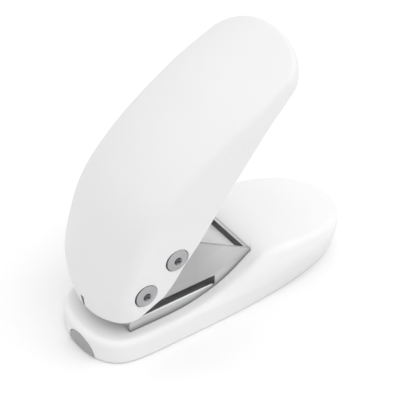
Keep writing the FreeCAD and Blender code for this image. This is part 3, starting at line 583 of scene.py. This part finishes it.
def lever_outline():
    """half outline of the lever in (s, y), from the nose to the middle of the tip, with outward normals"""
    dense = np.linspace(0, KNOT[-1], 4000)
    u = tip_u(dense)
    s_of_u = lambda x: np.interp(x, u, dense)
    s_tip = float(s_of_u(0.0))
    s_a = float(s_of_u(-TIP_LONG))
    s1 = np.linspace(0, s_a, 1400)
    side = LEV(s1)[:, 4]
    end = TIP_HALF + 0.13 * np.maximum(0.0, -TIP_LONG - tip_u(s1))
    k = 0.25
    y1 = -k * np.log(np.exp(-(side - 20) / k) + np.exp(-(end - 20) / k)) + 20
    y1 += (TIP_HALF - y1[-1]) * np.clip((s1 - (s_a - 12)) / 12, 0, 1) ** 2
    a = np.linspace(0, math.pi / 2, 1200)[1:]
    v = np.sin(a) ** 1.25
    s2 = s_of_u(-TIP_LONG + TIP_LONG * v)
    y2 = TIP_HALF * np.maximum(0.0, np.cos(a)) ** (2 / 2.46)
    s, y = np.concatenate([s1, s2]), np.concatenate([y1, y2])
    L = np.concatenate([[0.0], np.cumsum(np.hypot(np.diff(s), np.diff(y)))])
    # the first rows round the nose's lower edge, the others are about evenly spaced
    rest = np.concatenate([np.linspace(RIM, 118.0 / 135 * L[-1], 118), np.linspace(118.0 / 135 * L[-1], L[-1], 46)[1:]])
    S, Y = np.interp(rest, L, s), np.interp(rest, L, y)
    e = 0.25
    ls, hs = np.interp(rest - e, L, s), np.interp(rest + e, L, s)
    ly, hy = np.interp(rest - e, L, y), np.interp(rest + e, L, y)
    T = np.stack([hs - ls, hy - ly], -1)
    T /= np.linalg.norm(T, axis=-1, keepdims=True)
    N = np.stack([-T[:, 1], T[:, 0]], -1)
    N[-1] = (1.0, 0.0)
    Y[-1] = 0.0
    # a light smoothing keeps the normals free of steps
    for _ in range(3):
        N[1:-1] = (N[:-2] + 2 * N[1:-1] + N[2:]) / 4
    N /= np.linalg.norm(N, axis=-1, keepdims=True)
    psi = np.radians([90.0, 60.0, 30.0])
    S0, in0 = RIM * (1 - np.sin(psi)), RIM * (1 - np.cos(psi))
    Y0 = np.interp(S0, s, y)
    N0 = np.tile([0.0, 1.0], (3, 1))
    return (np.concatenate([S0, S]), np.concatenate([Y0, Y]), np.concatenate([N0, N]), np.concatenate([in0, 0 * S]))


def lever_skin(kind, nw=16, na=9, nc=45):
    """grid of points of the outer or inner surface: rows from the nose to the tip, columns from rim to rim"""
    S, Y, N, in0 = lever_outline()
    outer = kind == "outer"
    inset = in0 if outer else WALL - in0
    q = LEV(S)
    R = q[:, 5] - inset
    r = np.maximum(q[:, 6] - (0 if outer else WALL), 0.6)
    W = q[:, 4]
    dL = q[:, 2:4] - q[:, 0:2]
    low = np.linalg.norm(dL, axis=-1)
    sgn = 1.0 if outer else -1.0
    # place of the wall in plan
    ws, wy = S - N[:, 0] * inset, np.maximum(0.0, Y - N[:, 1] * inset)
    low = low - q[:, 7] * (1 - np.minimum(1.0, (wy / W)) ** 2)
    # crown tangent
    dt = r.copy()
    for _ in range(6):
        yt = np.maximum(0.0, wy - N[:, 1] * dt)
        slope = yt / np.sqrt(R * R - yt * yt) * np.abs(N[:, 1])
        al = np.arctan(slope)
        dt = r * (1 - np.sin(al))
    st, yt = ws - N[:, 0] * dt, np.maximum(0.0, wy - N[:, 1] * dt)
    at = inset + R - np.sqrt(R * R - yt * yt)
    ac = at + r * np.cos(al)
    rho = np.minimum(RIM, 0.7 * np.maximum(0.1, low - ac))
    cols = []

    def add(d, a):
        cols.append(lever_point(ws - N[:, 0] * d, a, np.maximum(0.0, wy - N[:, 1] * d)))
    for psi in np.radians([90.0, 67.5, 45.0, 22.5]):
        add(sgn * rho * (1 - math.cos(psi)), low - rho + rho * math.sin(psi))
    for k in range(nw):
        add(0 * rho, (low - rho) + (ac - low + rho) * k / nw)
    fmax = math.pi / 2 - al
    for k in range(na):
        f = fmax * k / na
        add(r * (1 - np.cos(f)), ac - r * np.sin(f))
    half = np.stack(cols, 1)                                # rows x columns x 3, y > 0
    crown = []
    for c in np.linspace(1, -1, nc):
        y = yt * c
        crown.append(lever_point(st, inset + R - np.sqrt(R * R - y * y), y))
    crown = np.stack(crown, 1)
    mirror = half[:, ::-1].copy()
    mirror[..., 1] *= -1
    return np.concatenate([half, crown, mirror], 1)


def build_shell(name, outer, inner):
    """closed shell from two grids of the same size that are open along the first row and both sides"""
    r, c = outer.shape[:2]
    n = r * c
    v = np.concatenate([outer.reshape(-1, 3), inner.reshape(-1, 3)])
    idx = np.arange(n).reshape(r, c)
    f = grid_faces(idx)
    f += [q[::-1] for q in grid_faces(idx + n)]
    path = [(i, 0) for i in range(r - 1, -1, -1)] + [(0, j) for j in range(1, c)] + [(i, c - 1) for i in range(1, r)]
    p = [idx[a] for a in path]
    for a, b in zip(p[:-1], p[1:]):
        f.append([a, b, b + n, a + n])
    return outward(new_object(name, v, f))


outer_grid = lever_skin("outer")
inner_grid = lever_skin("inner")
lever = build_shell("lever_shell", outer_grid, inner_grid)
lever_skin_keep = Skin(lever)

# bosses round the pins and under the cover screw, then the recesses and holes
add, cut = [], []
for sgn in (-1, 1):
    for nm, (px, pz) in (("pivot", PIVOT), ("drive", DRIVE)):
        add.append(rod("t", (px, sgn * 14.95, pz), (px, sgn * 17.0, pz), 4.6, 56))
        cut.append(rod("t", (px, sgn * SEAT[nm], pz), (px, sgn * 24, pz), 4.05, 72))
        cut.append(rod("t", (px, sgn * 14.0, pz), (px, sgn * 20.0, pz), 2.02, 40))
B0 = np.array([-8.35, 0, 62.39])
BD = np.array([-math.sin(math.radians(33)), 0, math.cos(math.radians(33))])
add.append(rod("t", B0, B0 + BD * 9.0, 3.2, 48))
cut.append(rod("t", B0 - BD * 0.6, B0 + BD * 4.5, 1.2, 32))
boolean(lever, add, "UNION")
boolean(lever, cut, "DIFFERENCE")
clean(lever, 2e-6, False)
lever_skin_keep.give_back(lever, 32)
finish_piece(lever, "lever", ["lever_cover"], M_LEVER)


# centre mark: a thin inlaid stroke on the nose
def mark_grid():
    rows, cols = [], []
    s_of_z = lambda z: np.interp(z, LEV(np.linspace(0, 30, 400))[:, 1], np.linspace(0, 30, 400))
    zs = np.linspace(13.85, 18.5, 10)
    frac = np.linspace(-1, 1, 7)
    top, low = [], []
    for z in zs:
        half = 0.42 + 0.50 * (z - 13.85) / 4.65
        mid = 0.5 * (18.5 - z) / 4.65
        ys = mid + half * frac
        s = np.full(ys.shape, float(s_of_z(z)))
        R = LEV(s)[:, 5]
        a = R - np.sqrt(R * R - ys * ys)
        edge = np.minimum(1.0, np.minimum((half - np.abs(ys - mid)) / 0.12, min(z - 13.85, 18.5 - z) / 0.15))
        top.append(lever_point(s, a - 0.12 * np.sqrt(np.clip(edge, 0, 1)) + 0.01, ys))
        low.append(lever_point(s, a + 0.30, ys))
    return np.array(top), np.array(low)


top, low = mark_grid()
r, c = top.shape[:2]
n = r * c
idx = np.arange(n).reshape(r, c)
f = grid_faces(idx) + [q[::-1] for q in grid_faces(idx + n)]
ring = [idx[0, j] for j in range(c)] + [idx[i, c - 1] for i in range(1, r)] + [idx[r - 1, j] for j in range(c - 2, -1, -1)] + [idx[i, 0] for i in range(r - 2, 0, -1)]
for a, b in zip(ring, ring[1:] + ring[:1]):
    f.append([a, a + n, b + n, b])
mark = outward(new_object("nose_mark", np.concatenate([top.reshape(-1, 3), low.reshape(-1, 3)]), f))
sharpen(mark, 40)
finish_piece(mark, "lever", ["centre_mark"], M_MARK)


# ---------------------------------------------------------------------------
# base: a long foot with a raised rear pad
# ---------------------------------------------------------------------------

XM, HB, HC = -12.7, 17.8, 19.3
TOP = np.array([(-56.0, 8.5), (-46.0, 8.5), (-36.0, 8.5), (-27.0, 8.4), (-20.0, 8.6), (-14.5, 9.3), (-10.0, 10.35), (-5.0, 12.0),
                (0.0, 14.5), (4.0, 17.1), (7.6, 19.45), (10.5, 20.5), (16.0, 20.75), (24.0, 19.9), (34.0, 18.6), (44.0, 17.0),
                (56.0, 15.0)])
_top = cubic(TOP[:, 0], TOP[:, 1])


def top_z(x):
    return _top(x)[..., 0]


def width_low(x):
    u = np.clip((x + 12.7) / 60.8, 0, 1)
    return HB * np.maximum(0.0, 1 - u ** 1.9) ** 0.37


def width_crest(x):
    u = np.clip((x + 12.7) / 29.7, 0, None)
    a = HB + (HC - HB) * u * u * (3 - 2 * u)
    w = np.clip((x - 17.0) / 33.0, 0, 1)
    return np.where(x <= 17.0, a, HC * np.sqrt(np.maximum(0.0, 1 - w ** 2.6)))


def base_plan(z, tau, inset=0.0):
    """half outline: tau in 0..1 is the front, 1..2 the rear; z may differ from point to point"""
    k = 1 - (1 - np.clip(z / 17.0, 0, 1)) ** 2.2
    t = np.clip(tau, 0, 1)
    ya = 0.846 * np.minimum(1.0, 2 * t)
    xa = (1 - ya ** 2) ** (1 / 7.53)
    xb = 0.846 * np.clip(2 - 2 * t, 0, 1)
    yb = np.sqrt(1 - xb ** 7.53)
    xf = XM - (XM + 50.4 - inset) * np.where(t < 0.5, xa, xb)
    yf = (HB - inset) * np.where(t < 0.5, ya, yb)
    q = np.sin(np.clip(tau - 1, 0, 1) * math.pi / 2)
    xa, xb = XM + 60.8 * q, XM + 62.7 * q
    xr = (1 - k) * xa + k * xb
    yr = (1 - k) * width_low(xa) + k * width_crest(xb)
    f = (xr - XM) / ((1 - k) * 48.1 + k * 50.0 - XM)
    xr = xr - inset * f
    yr = np.maximum(0.0, yr - np.where(yr < HB, inset * yr / HB, inset))
    front = tau <= 1
    return np.where(front, xf, xr), np.where(front, yf, yr)


def base_params(n_front=64, n_rear=84):
    out = []
    for lo, hi, n in ((0.0, 1.0, n_front), (1.0, 2.0, n_rear)):
        t = np.linspace(lo, hi, 6001)
        x, y = base_plan(np.full(t.shape, 10.0), t)
        L = np.concatenate([[0.0], np.cumsum(np.hypot(np.diff(x), np.diff(y)))])
        out.append(np.interp(np.linspace(0, L[-1], n + 1), L, t))
    return np.concatenate([out[0], out[1][1:]])


def base_solid(name):
    rho, rim = 2.4, 1.1
    tau = base_params()
    x10, y10 = base_plan(np.full(tau.shape, 10.0), tau)

    def wall(z):
        x, y = base_plan(z, tau)
        return np.stack([x, y, z], -1)

    def normal(z):
        e = 0.05
        up = (wall(z + e) - wall(z - e)) / (2 * e)
        tt = np.maximum(tau - 1e-3, 0), np.minimum(tau + 1e-3, 2)
        a, b = base_plan(z, tt[0]), base_plan(z, tt[1])
        al = np.stack([b[0] - a[0], b[1] - a[1], 0 * z], -1)
        al[0], al[-1] = (0, 1, 0), (0, -1, 0)
        n = np.cross(al, up)
        n /= np.linalg.norm(n, axis=-1, keepdims=True) + 1e-12
        flip = np.sign(n[:, 0] * (x10 - (-5)) / 50 + n[:, 1] * y10 / 17)
        n *= np.where(flip == 0, 1, flip)[:, None]
        n[0, 1] = n[-1, 1] = 0
        for _ in range(2):
            n[1:-1] = (n[:-2] + 2 * n[1:-1] + n[2:]) / 4
        return n / np.linalg.norm(n, axis=-1, keepdims=True)
    lo, hi = np.full(tau.shape, 2.0), top_z(x10) + 1.0
    for _ in range(40):
        mid = (lo + hi) / 2
        c = wall(mid) - rho * normal(mid)
        g = (top_z(c[:, 0] + 0.01) - top_z(c[:, 0] - 0.01)) / 0.02
        f = (top_z(c[:, 0]) - c[:, 2]) / np.sqrt(1 + g * g) - rho
        lo, hi = np.where(f > 0, mid, lo), np.where(f > 0, hi, mid)
    zw = (lo + hi) / 2
    nw = normal(zw)
    c = wall(zw) - rho * nw
    g = (top_z(c[:, 0] + 0.01) - top_z(c[:, 0] - 0.01)) / 0.02
    nt = np.stack([-g, 0 * g, 1 + 0 * g], -1)
    nt /= np.linalg.norm(nt, axis=-1, keepdims=True)
    cols = []
    nb = normal(np.full(tau.shape, rim))
    for psi in np.radians([90.0, 72.0, 54.0, 36.0, 18.0]):
        p = wall(np.full(tau.shape, rim)) - nb * rim * (1 - math.cos(psi))
        p[:, 2] = rim - rim * math.sin(psi)
        cols.append(p)
    nz = 16
    for k in range(nz):
        cols.append(wall(rim + (zw - rim) * k / nz))
    dot = np.clip((nw * nt).sum(-1), -1, 1)
    om = np.arccos(dot)
    na = 12
    for k in range(na + 1):
        t = k / na
        w = (np.sin((1 - t) * om)[:, None] * nw + np.sin(t * om)[:, None] * nt) / np.sin(om)[:, None]
        cols.append(c + rho * w)
    half = np.stack(cols, 1)
    tan = half[:, -1]
    nc = 44
    crown = []
    for k in range(1, nc):
        y = tan[:, 1] * (1 - 2.0 * k / nc)
        crown.append(np.stack([tan[:, 0], y, top_z(tan[:, 0])], -1))
    crown = np.stack(crown, 1)
    half[:, -1, 2] = top_z(tan[:, 0])
    mirror = half[:, ::-1].copy()
    mirror[..., 1] *= -1
    g = np.concatenate([half, crown, mirror], 1)
    g[0, :, 1] = 0.0
    g[-1, :, 1] = 0.0
    idx = np.arange(g.shape[0] * g.shape[1]).reshape(g.shape[:2])
    f = grid_faces(idx)
    for i in range(g.shape[0] - 1):                       # the flat underside
        f.append([idx[i, 0], idx[i + 1, 0], idx[i + 1, -1], idx[i, -1]])
    return outward(new_object(name, g.reshape(-1, 3), f))


base = base_solid("base_body")
base_keep = Skin(base)


def plan_prism(name, inset, z0, z1, step=1):
    tau = base_params(40, 52)
    a = base_plan(np.full(tau.shape, 3.5), tau, inset)
    loop = [(x, y) for x, y in zip(*a)]
    loop = loop + [(x, -y) for x, y in loop[-2:0:-1]]
    return prism(name, loop, "z", z0, z1)


low_cavity = plan_prism("t", 2.0, -1.0, 6.4)
high = plan_prism("t", 2.1, 3.0, 30.0)
roof = prism("t", [(9.7, 2.0), (9.7, 18.1), (16.0, 18.4), (24.0, 17.6), (34.0, 16.2), (42.0, 13.4), (50.0, 10.5), (50.0, 2.0)], "y", -14.5, 14.5)
boolean(high, [roof], "INTERSECT")
boolean(base, [low_cavity, high], "DIFFERENCE")
SCREWS = [(-34.0, -8.0), (-34.0, 8.0), (-1.0, -8.0), (-1.0, 8.0)]
boolean(base, [block("t", -38.15, 7.65, -13.05, 13.05, 8.0, 40.0), rod("t", (-22.65, 0, 5.0), (-22.65, 0, 9.0), 4.0, 56)], "DIFFERENCE")
add = [rod("t", (x, y, 7.4), (x, y, 11.25), 3.0, 40) for x, y in SCREWS]
for s in (-1, 1):
    y0, y1 = (6.9, 8.5) if s > 0 else (-8.5, -6.9)
    add.append(prism("t", [(34.5, 17.4), (34.5, 6.0), (36.0, 2.1), (40.0, 2.1), (41.5, 6.0), (41.5, 14.6)], "y", y0, y1))
boolean(base, add, "UNION")
cut = [rod("t", (x, y, 5.0), (x, y, 13.0), 1.3, 32) for x, y in SCREWS]
for s in (-1, 1):
    cut.append(rod("t", (38.0, s * 6.0, 3.8), (38.0, s * 9.0, 3.8), 1.17, 32))


def arch_loop(half, high, z0, n=28):
    t = math.pi * np.arange(n + 1) / n
    return [(-half * math.cos(a), z0 + (high - z0) * max(0.0, math.sin(a)) ** 0.9) for a in t]


notch = [(y - 2.65, z) for y, z in [(-6.45, -1.0)] + arch_loop(6.45, 6.75, 0.05) + [(6.45, -1.0)]]
cut.append(prism("t", notch, "x", -56.0, -46.2))
boolean(base, cut, "DIFFERENCE")
clean(base, 2e-6, False)
base_keep.give_back(base, 32)
finish_piece(base, "base", ["base_shell"], M_BASE)


# ---------------------------------------------------------------------------
# carried-over shapes with their edges broken
# ---------------------------------------------------------------------------

def eased(node, name, width, seg=2, angle=38, flat=0.8, skip=None):
    """a copy of a CAD node's mesh: flat faces joined up, sharp edges broken by a small round"""
    me = NODES[node].data.copy()
    me.name = name
    ob = bpy.data.objects.new(name, me)
    bpy.context.scene.collection.objects.link(ob)
    if "custom_normal" in me.attributes:
        me.attributes.remove(me.attributes["custom_normal"])
    bm = bmesh.new()
    bm.from_mesh(me)
    bmesh.ops.remove_doubles(bm, verts=bm.verts, dist=1.5e-6)
    bmesh.ops.dissolve_degenerate(bm, edges=bm.edges, dist=1e-6)
    bmesh.ops.dissolve_limit(bm, angle_limit=math.radians(flat), verts=bm.verts, edges=bm.edges, use_dissolve_boundaries=False)
    lim = math.radians(angle)
    es = [e for e in bm.edges if len(e.link_faces) == 2 and e.calc_face_angle(0.0) > lim]
    if skip:
        es = [e for e in es if not skip((e.verts[0].co + e.verts[1].co) / (2 * MM))]
    if width > 0:
        bmesh.ops.bevel(bm, geom=es, offset=width * MM, offset_type="OFFSET", segments=seg, profile=0.5, affect="EDGES",
                        clamp_overlap=False, loop_slide=True)
    bmesh.ops.remove_doubles(bm, verts=bm.verts, dist=1e-6)
    bmesh.ops.triangulate(bm, faces=[f for f in bm.faces if len(f.verts) > 4])
    bmesh.ops.recalc_face_normals(bm, faces=bm.faces)
    bm.to_mesh(me)
    bm.free()
    me.update()
    if volume(ob) < 0:
        bm = bmesh.new()
        bm.from_mesh(me)
        bmesh.ops.reverse_faces(bm, faces=bm.faces)
        bm.to_mesh(me)
        bm.free()
    sharpen(ob, 30)
    return ob


BODY = {n: b for b, ns in frame["record"]["behaviour"]["bodies"].items() for n in ns}
for node, name, width, slot, mat in (
        ("punch_frame", "frame_sheet", 0.14, "frame_steel", M_FRAME),
        ("rear_cover_plate", "inner_plate", 0.12, "plate_steel", M_PLATE),
        ("guide_bracket", "guide_bracket_sheet", 0.12, "bracket_steel", M_BRACKET),
        ("lever_bracket", "lever_bracket_sheet", 0.14, "bracket_steel", M_BRACKET),
        ("chip_cover", "chip_cover_panel", 0.18, "cover_grey", M_TAB),
        ("punch_crosshead", "crosshead_block", 0.2, "crosshead_plastic", M_CROSS),
        ("die_bush", "die_bush_ring", 0.1, "punch_steel", M_PUNCH),
        ("guide_bush", "guide_bush_ring", 0.15, "punch_steel", M_PUNCH),
        ("punch_pin", "punch_rod", 0.06, "punch_steel", M_PUNCH),
        ("spring_washer", "spring_seat_ring", 0.08, "bracket_steel", M_BRACKET),
        ("punch_lock_pin", "lock_pin_rod", 0.08, "screw_steel", M_SCREW),
        ("pivot_washers", "pivot_washer_rings", 0.06, "washer_white", M_WASHER),
        ("drive_pin_spacers", "spacer_tubes", 0.15, "spacer_steel", M_SPACER),
        ("bracket_rivets", "rivet_set", 0.1, "frame_steel", M_FRAME),
        ("cover_screw", "cover_screw_body", 0.08, "screw_steel", M_SCREW),
        ("frame_screws", "frame_screw_set", 0.08, "screw_steel", M_SCREW)):
    # the paper slot's closed end keeps its crisp corner
    skip = (lambda c: -7.7 < c.x < -5.9 and c.z < 13.2 and abs(c.y) > 11.5) if node == "punch_frame" else None
    ob = eased(node, name, width, skip=skip)
    finish_piece(ob, BODY[node], [node], mat)


# ---------------------------------------------------------------------------
# pins: domed heads with a round dimple
# ---------------------------------------------------------------------------

HEAD_R, HEAD_H, HEAD_RIM = 3.9, 1.2, 0.5
RHO = (HEAD_R ** 2 + (HEAD_H - HEAD_RIM) ** 2) / (2 * (HEAD_H - HEAD_RIM))


def head_profile():
    """(radius, height) from the dimple's middle over the dome and the rim"""
    dome = lambda r: HEAD_H - RHO + math.sqrt(RHO * RHO - r * r)
    c = HEAD_H + 0.72
    r_d = 1.4
    for _ in range(30):                                    # where the dimple meets the dome
        r_d = math.sqrt(max(0.0, 2.25 - (c - dome(r_d)) ** 2))
    out = [(0.0, c - 1.5)]
    lip = 0.16
    for k in range(1, 7):
        r = (r_d - lip * 0.5) * k / 6
        out.append((r, c - math.sqrt(2.25 - r * r)))
    out.append((r_d + lip * 0.25, dome(r_d) - 0.015))
    for k in range(12):
        r = r_d + lip + (HEAD_R - 0.28 - r_d - lip) * k / 11
        out.append((r, dome(r)))
    zr = dome(HEAD_R - 0.28)
    for a in np.radians([25.0, 50.0, 75.0]):
        out.append((HEAD_R - 0.28 + 0.28 * math.sin(a), zr - 0.24 * (1 - math.cos(a))))
    out.append((HEAD_R, zr - 0.26))
    return out


def pin(name, px, pz, seat, node, cap_node):
    prof = head_profile()
    near = prof + [(HEAD_R, 0.02), (2.0, 0.02), (2.0, -(2 * seat) + 0.6), (0.0, -(2 * seat) + 0.6)]
    a = lathe(name, near, (px, -seat, pz), (0, -1, 0))
    sharpen(a, 40)
    finish_piece(a, "lever", [node], M_PIN)
    far = prof + [(HEAD_R, 0.02), (2.0, 0.02), (2.0, -0.58), (0.0, -0.58)]
    b = lathe(name + "_far_head", far, (px, seat, pz), (0, 1, 0))
    sharpen(b, 40)
    finish_piece(b, "lever", [cap_node], M_PIN)


pin("pivot_rivet", PIVOT[0], PIVOT[1], SEAT["pivot"], "pivot_pin", "pivot_pin_cap")
pin("drive_rivet", DRIVE[0], DRIVE[1], SEAT["drive"], "drive_pin", "drive_pin_cap")


# ---------------------------------------------------------------------------
# return spring: closed and ground ends, open turns between them
# ---------------------------------------------------------------------------

def spring(name):
    x0, z0, z1, wire, mean, turns = -22.65, 17.44, 29.96, 0.42, 5.2, 5.6
    n, m = 360, 14
    t = np.linspace(0, 1, n + 1)
    # lead of the turns: nearly none at both ends
    rate = 0.16 + 0.84 * np.clip(np.minimum(t, 1 - t) / 0.16, 0, 1) ** 1.5
    h = np.concatenate([[0.0], np.cumsum((rate[1:] + rate[:-1]) / 2)])
    h = h / h[-1] * (z1 - z0 - 2 * wire) + z0 + wire
    a = 2 * math.pi * turns * t
    c = np.stack([x0 + mean * np.cos(a), mean * np.sin(a), h], -1)
    T = np.gradient(c, axis=0)
    T /= np.linalg.norm(T, axis=-1, keepdims=True)
    out = np.stack([np.cos(a), np.sin(a), 0 * a], -1)
    up = np.cross(T, out)
    rings = []
    for k in range(m):
        q = 2 * math.pi * k / m
        p = c + wire * (math.cos(q) * out + math.sin(q) * up)
        p[:, 2] = np.clip(p[:, 2], z0 + 0.06, z1 - 0.06)
        rings.append(p)
    g = np.stack(rings + [rings[0]], 1)
    v = g[:, :m].reshape(-1, 3)
    idx = np.arange((n + 1) * m).reshape(n + 1, m)
    f = grid_faces(np.concatenate([idx, idx[:, :1]], 1))
    f.append(list(idx[0])[::-1])
    f.append(list(idx[-1]))
    return outward(new_object(name, v, f))


coil = spring("coil_spring")
sharpen(coil, 45)
coil.data.materials.append(M_SPRING)
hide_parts("return_spring")
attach(coil, "base")
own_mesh(coil)


# ---------------------------------------------------------------------------
# floor, light and camera
# ---------------------------------------------------------------------------

def floor_piece():
    n, R = 96, 2200.0
    v, f = [(0, 0, -0.02)], []
    rings = [60, 150, 400, 1000, R]
    for rr in rings:
        for k in range(n):
            a = 2 * math.pi * k / n
            v.append((rr * math.cos(a), rr * math.sin(a), -0.02))
    for k in range(n):
        f.append([0, 1 + k, 1 + (k + 1) % n])
        for q in range(len(rings) - 1):
            a, b = 1 + q * n + k, 1 + q * n + (k + 1) % n
            f.append([a, a + n, b + n, b])
    ob = new_object("floor", v, f)
    bm = bmesh.new()
    bm.from_mesh(ob.data)
    bmesh.ops.recalc_face_normals(bm, faces=bm.faces)
    bm.to_mesh(ob.data)
    bm.free()
    m, nt, sh, tc = material("pale_floor")
    nz = noise(nt, tc, 6.0, 2.0)
    cr = ramp(nt, nz.outputs["Fac"], [(0.3, (0.93, 0.93, 0.93)), (0.7, (0.95, 0.95, 0.95))])
    nt.links.new(cr.outputs["Color"], sh.inputs["Base Color"])
    sh.inputs["Roughness"].default_value = 0.9
    sh.inputs["Specular IOR Level"].default_value = 0.1
    ob.data.materials.append(m)


floor_piece()


# soft studio light all round: broad lamps given as (direction, tightness, strength)
LAMPS = [((0.0, 0.0, 1.0), 1.0, 0.906), ((0.0, 0.0, 1.0), 5.0, 0.212), ((0.0, 1.0, 0.0), 2.0, 0.492),
         ((0.5, -0.5, 0.707), 6.0, 1.281), ((-0.5, 0.5, 0.707), 6.0, 0.242), ((-0.5, -0.5, 0.707), 6.0, 0.687),
         ((0.94, 0.0, 0.34), 6.0, 0.276)]
world = bpy.data.worlds.new("studio")
bpy.context.scene.world = world
world.use_nodes = True
wn = world.node_tree
for nd in list(wn.nodes):
    wn.nodes.remove(nd)
w_out = wn.nodes.new("ShaderNodeOutputWorld")
w_tc = wn.nodes.new("ShaderNodeTexCoord")
total = None
for direction, tight, strength in LAMPS:
    dp = wn.nodes.new("ShaderNodeVectorMath")
    dp.operation = "DOT_PRODUCT"
    dp.inputs[1].default_value = direction
    wn.links.new(w_tc.outputs["Generated"], dp.inputs[0])
    mx = wn.nodes.new("ShaderNodeMath")
    mx.operation = "MAXIMUM"
    mx.inputs[1].default_value = 0.0
    wn.links.new(dp.outputs["Value"], mx.inputs[0])
    pw = wn.nodes.new("ShaderNodeMath")
    pw.operation = "POWER"
    pw.inputs[1].default_value = tight
    wn.links.new(mx.outputs[0], pw.inputs[0])
    ad = wn.nodes.new("ShaderNodeMath")
    ad.operation = "MULTIPLY_ADD"
    ad.inputs[1].default_value = strength
    ad.inputs[2].default_value = 0.0
    wn.links.new(pw.outputs[0], ad.inputs[0])
    if total is not None:
        wn.links.new(total, ad.inputs[2])
    total = ad.outputs[0]
w_bg = wn.nodes.new("ShaderNodeBackground")
w_bg.inputs["Color"].default_value = (1.0, 1.0, 1.0, 1)
wn.links.new(total, w_bg.inputs["Strength"])
w_cam = wn.nodes.new("ShaderNodeBackground")
w_cam.inputs["Color"].default_value = (0.97, 0.97, 0.97, 1)
w_lp = wn.nodes.new("ShaderNodeLightPath")
w_mix = wn.nodes.new("ShaderNodeMixShader")
wn.links.new(w_lp.outputs["Is Camera Ray"], w_mix.inputs["Fac"])
wn.links.new(w_bg.outputs["Background"], w_mix.inputs[1])
wn.links.new(w_cam.outputs["Background"], w_mix.inputs[2])
wn.links.new(w_mix.outputs["Shader"], w_out.inputs["Surface"])

cam_data = bpy.data.cameras.new("camera")
cam = bpy.data.objects.new("camera", cam_data)
bpy.context.scene.collection.objects.link(cam)
cam.location = (-0.1948, -0.2754, 0.2991)
cam.rotation_euler = (math.radians(51.901), 0.0, math.radians(-34.855))
cam_data.sensor_fit = "HORIZONTAL"
cam_data.sensor_width = 36.0
cam_data.lens = 123.04
cam_data.clip_start = 0.01
cam_data.clip_end = 20.0
bpy.context.scene.camera = cam

sc = bpy.context.scene
sc.view_settings.view_transform = "Standard"
sc.view_settings.look = "None"
sc.view_settings.exposure = 0.0
sc.view_settings.gamma = 1.0
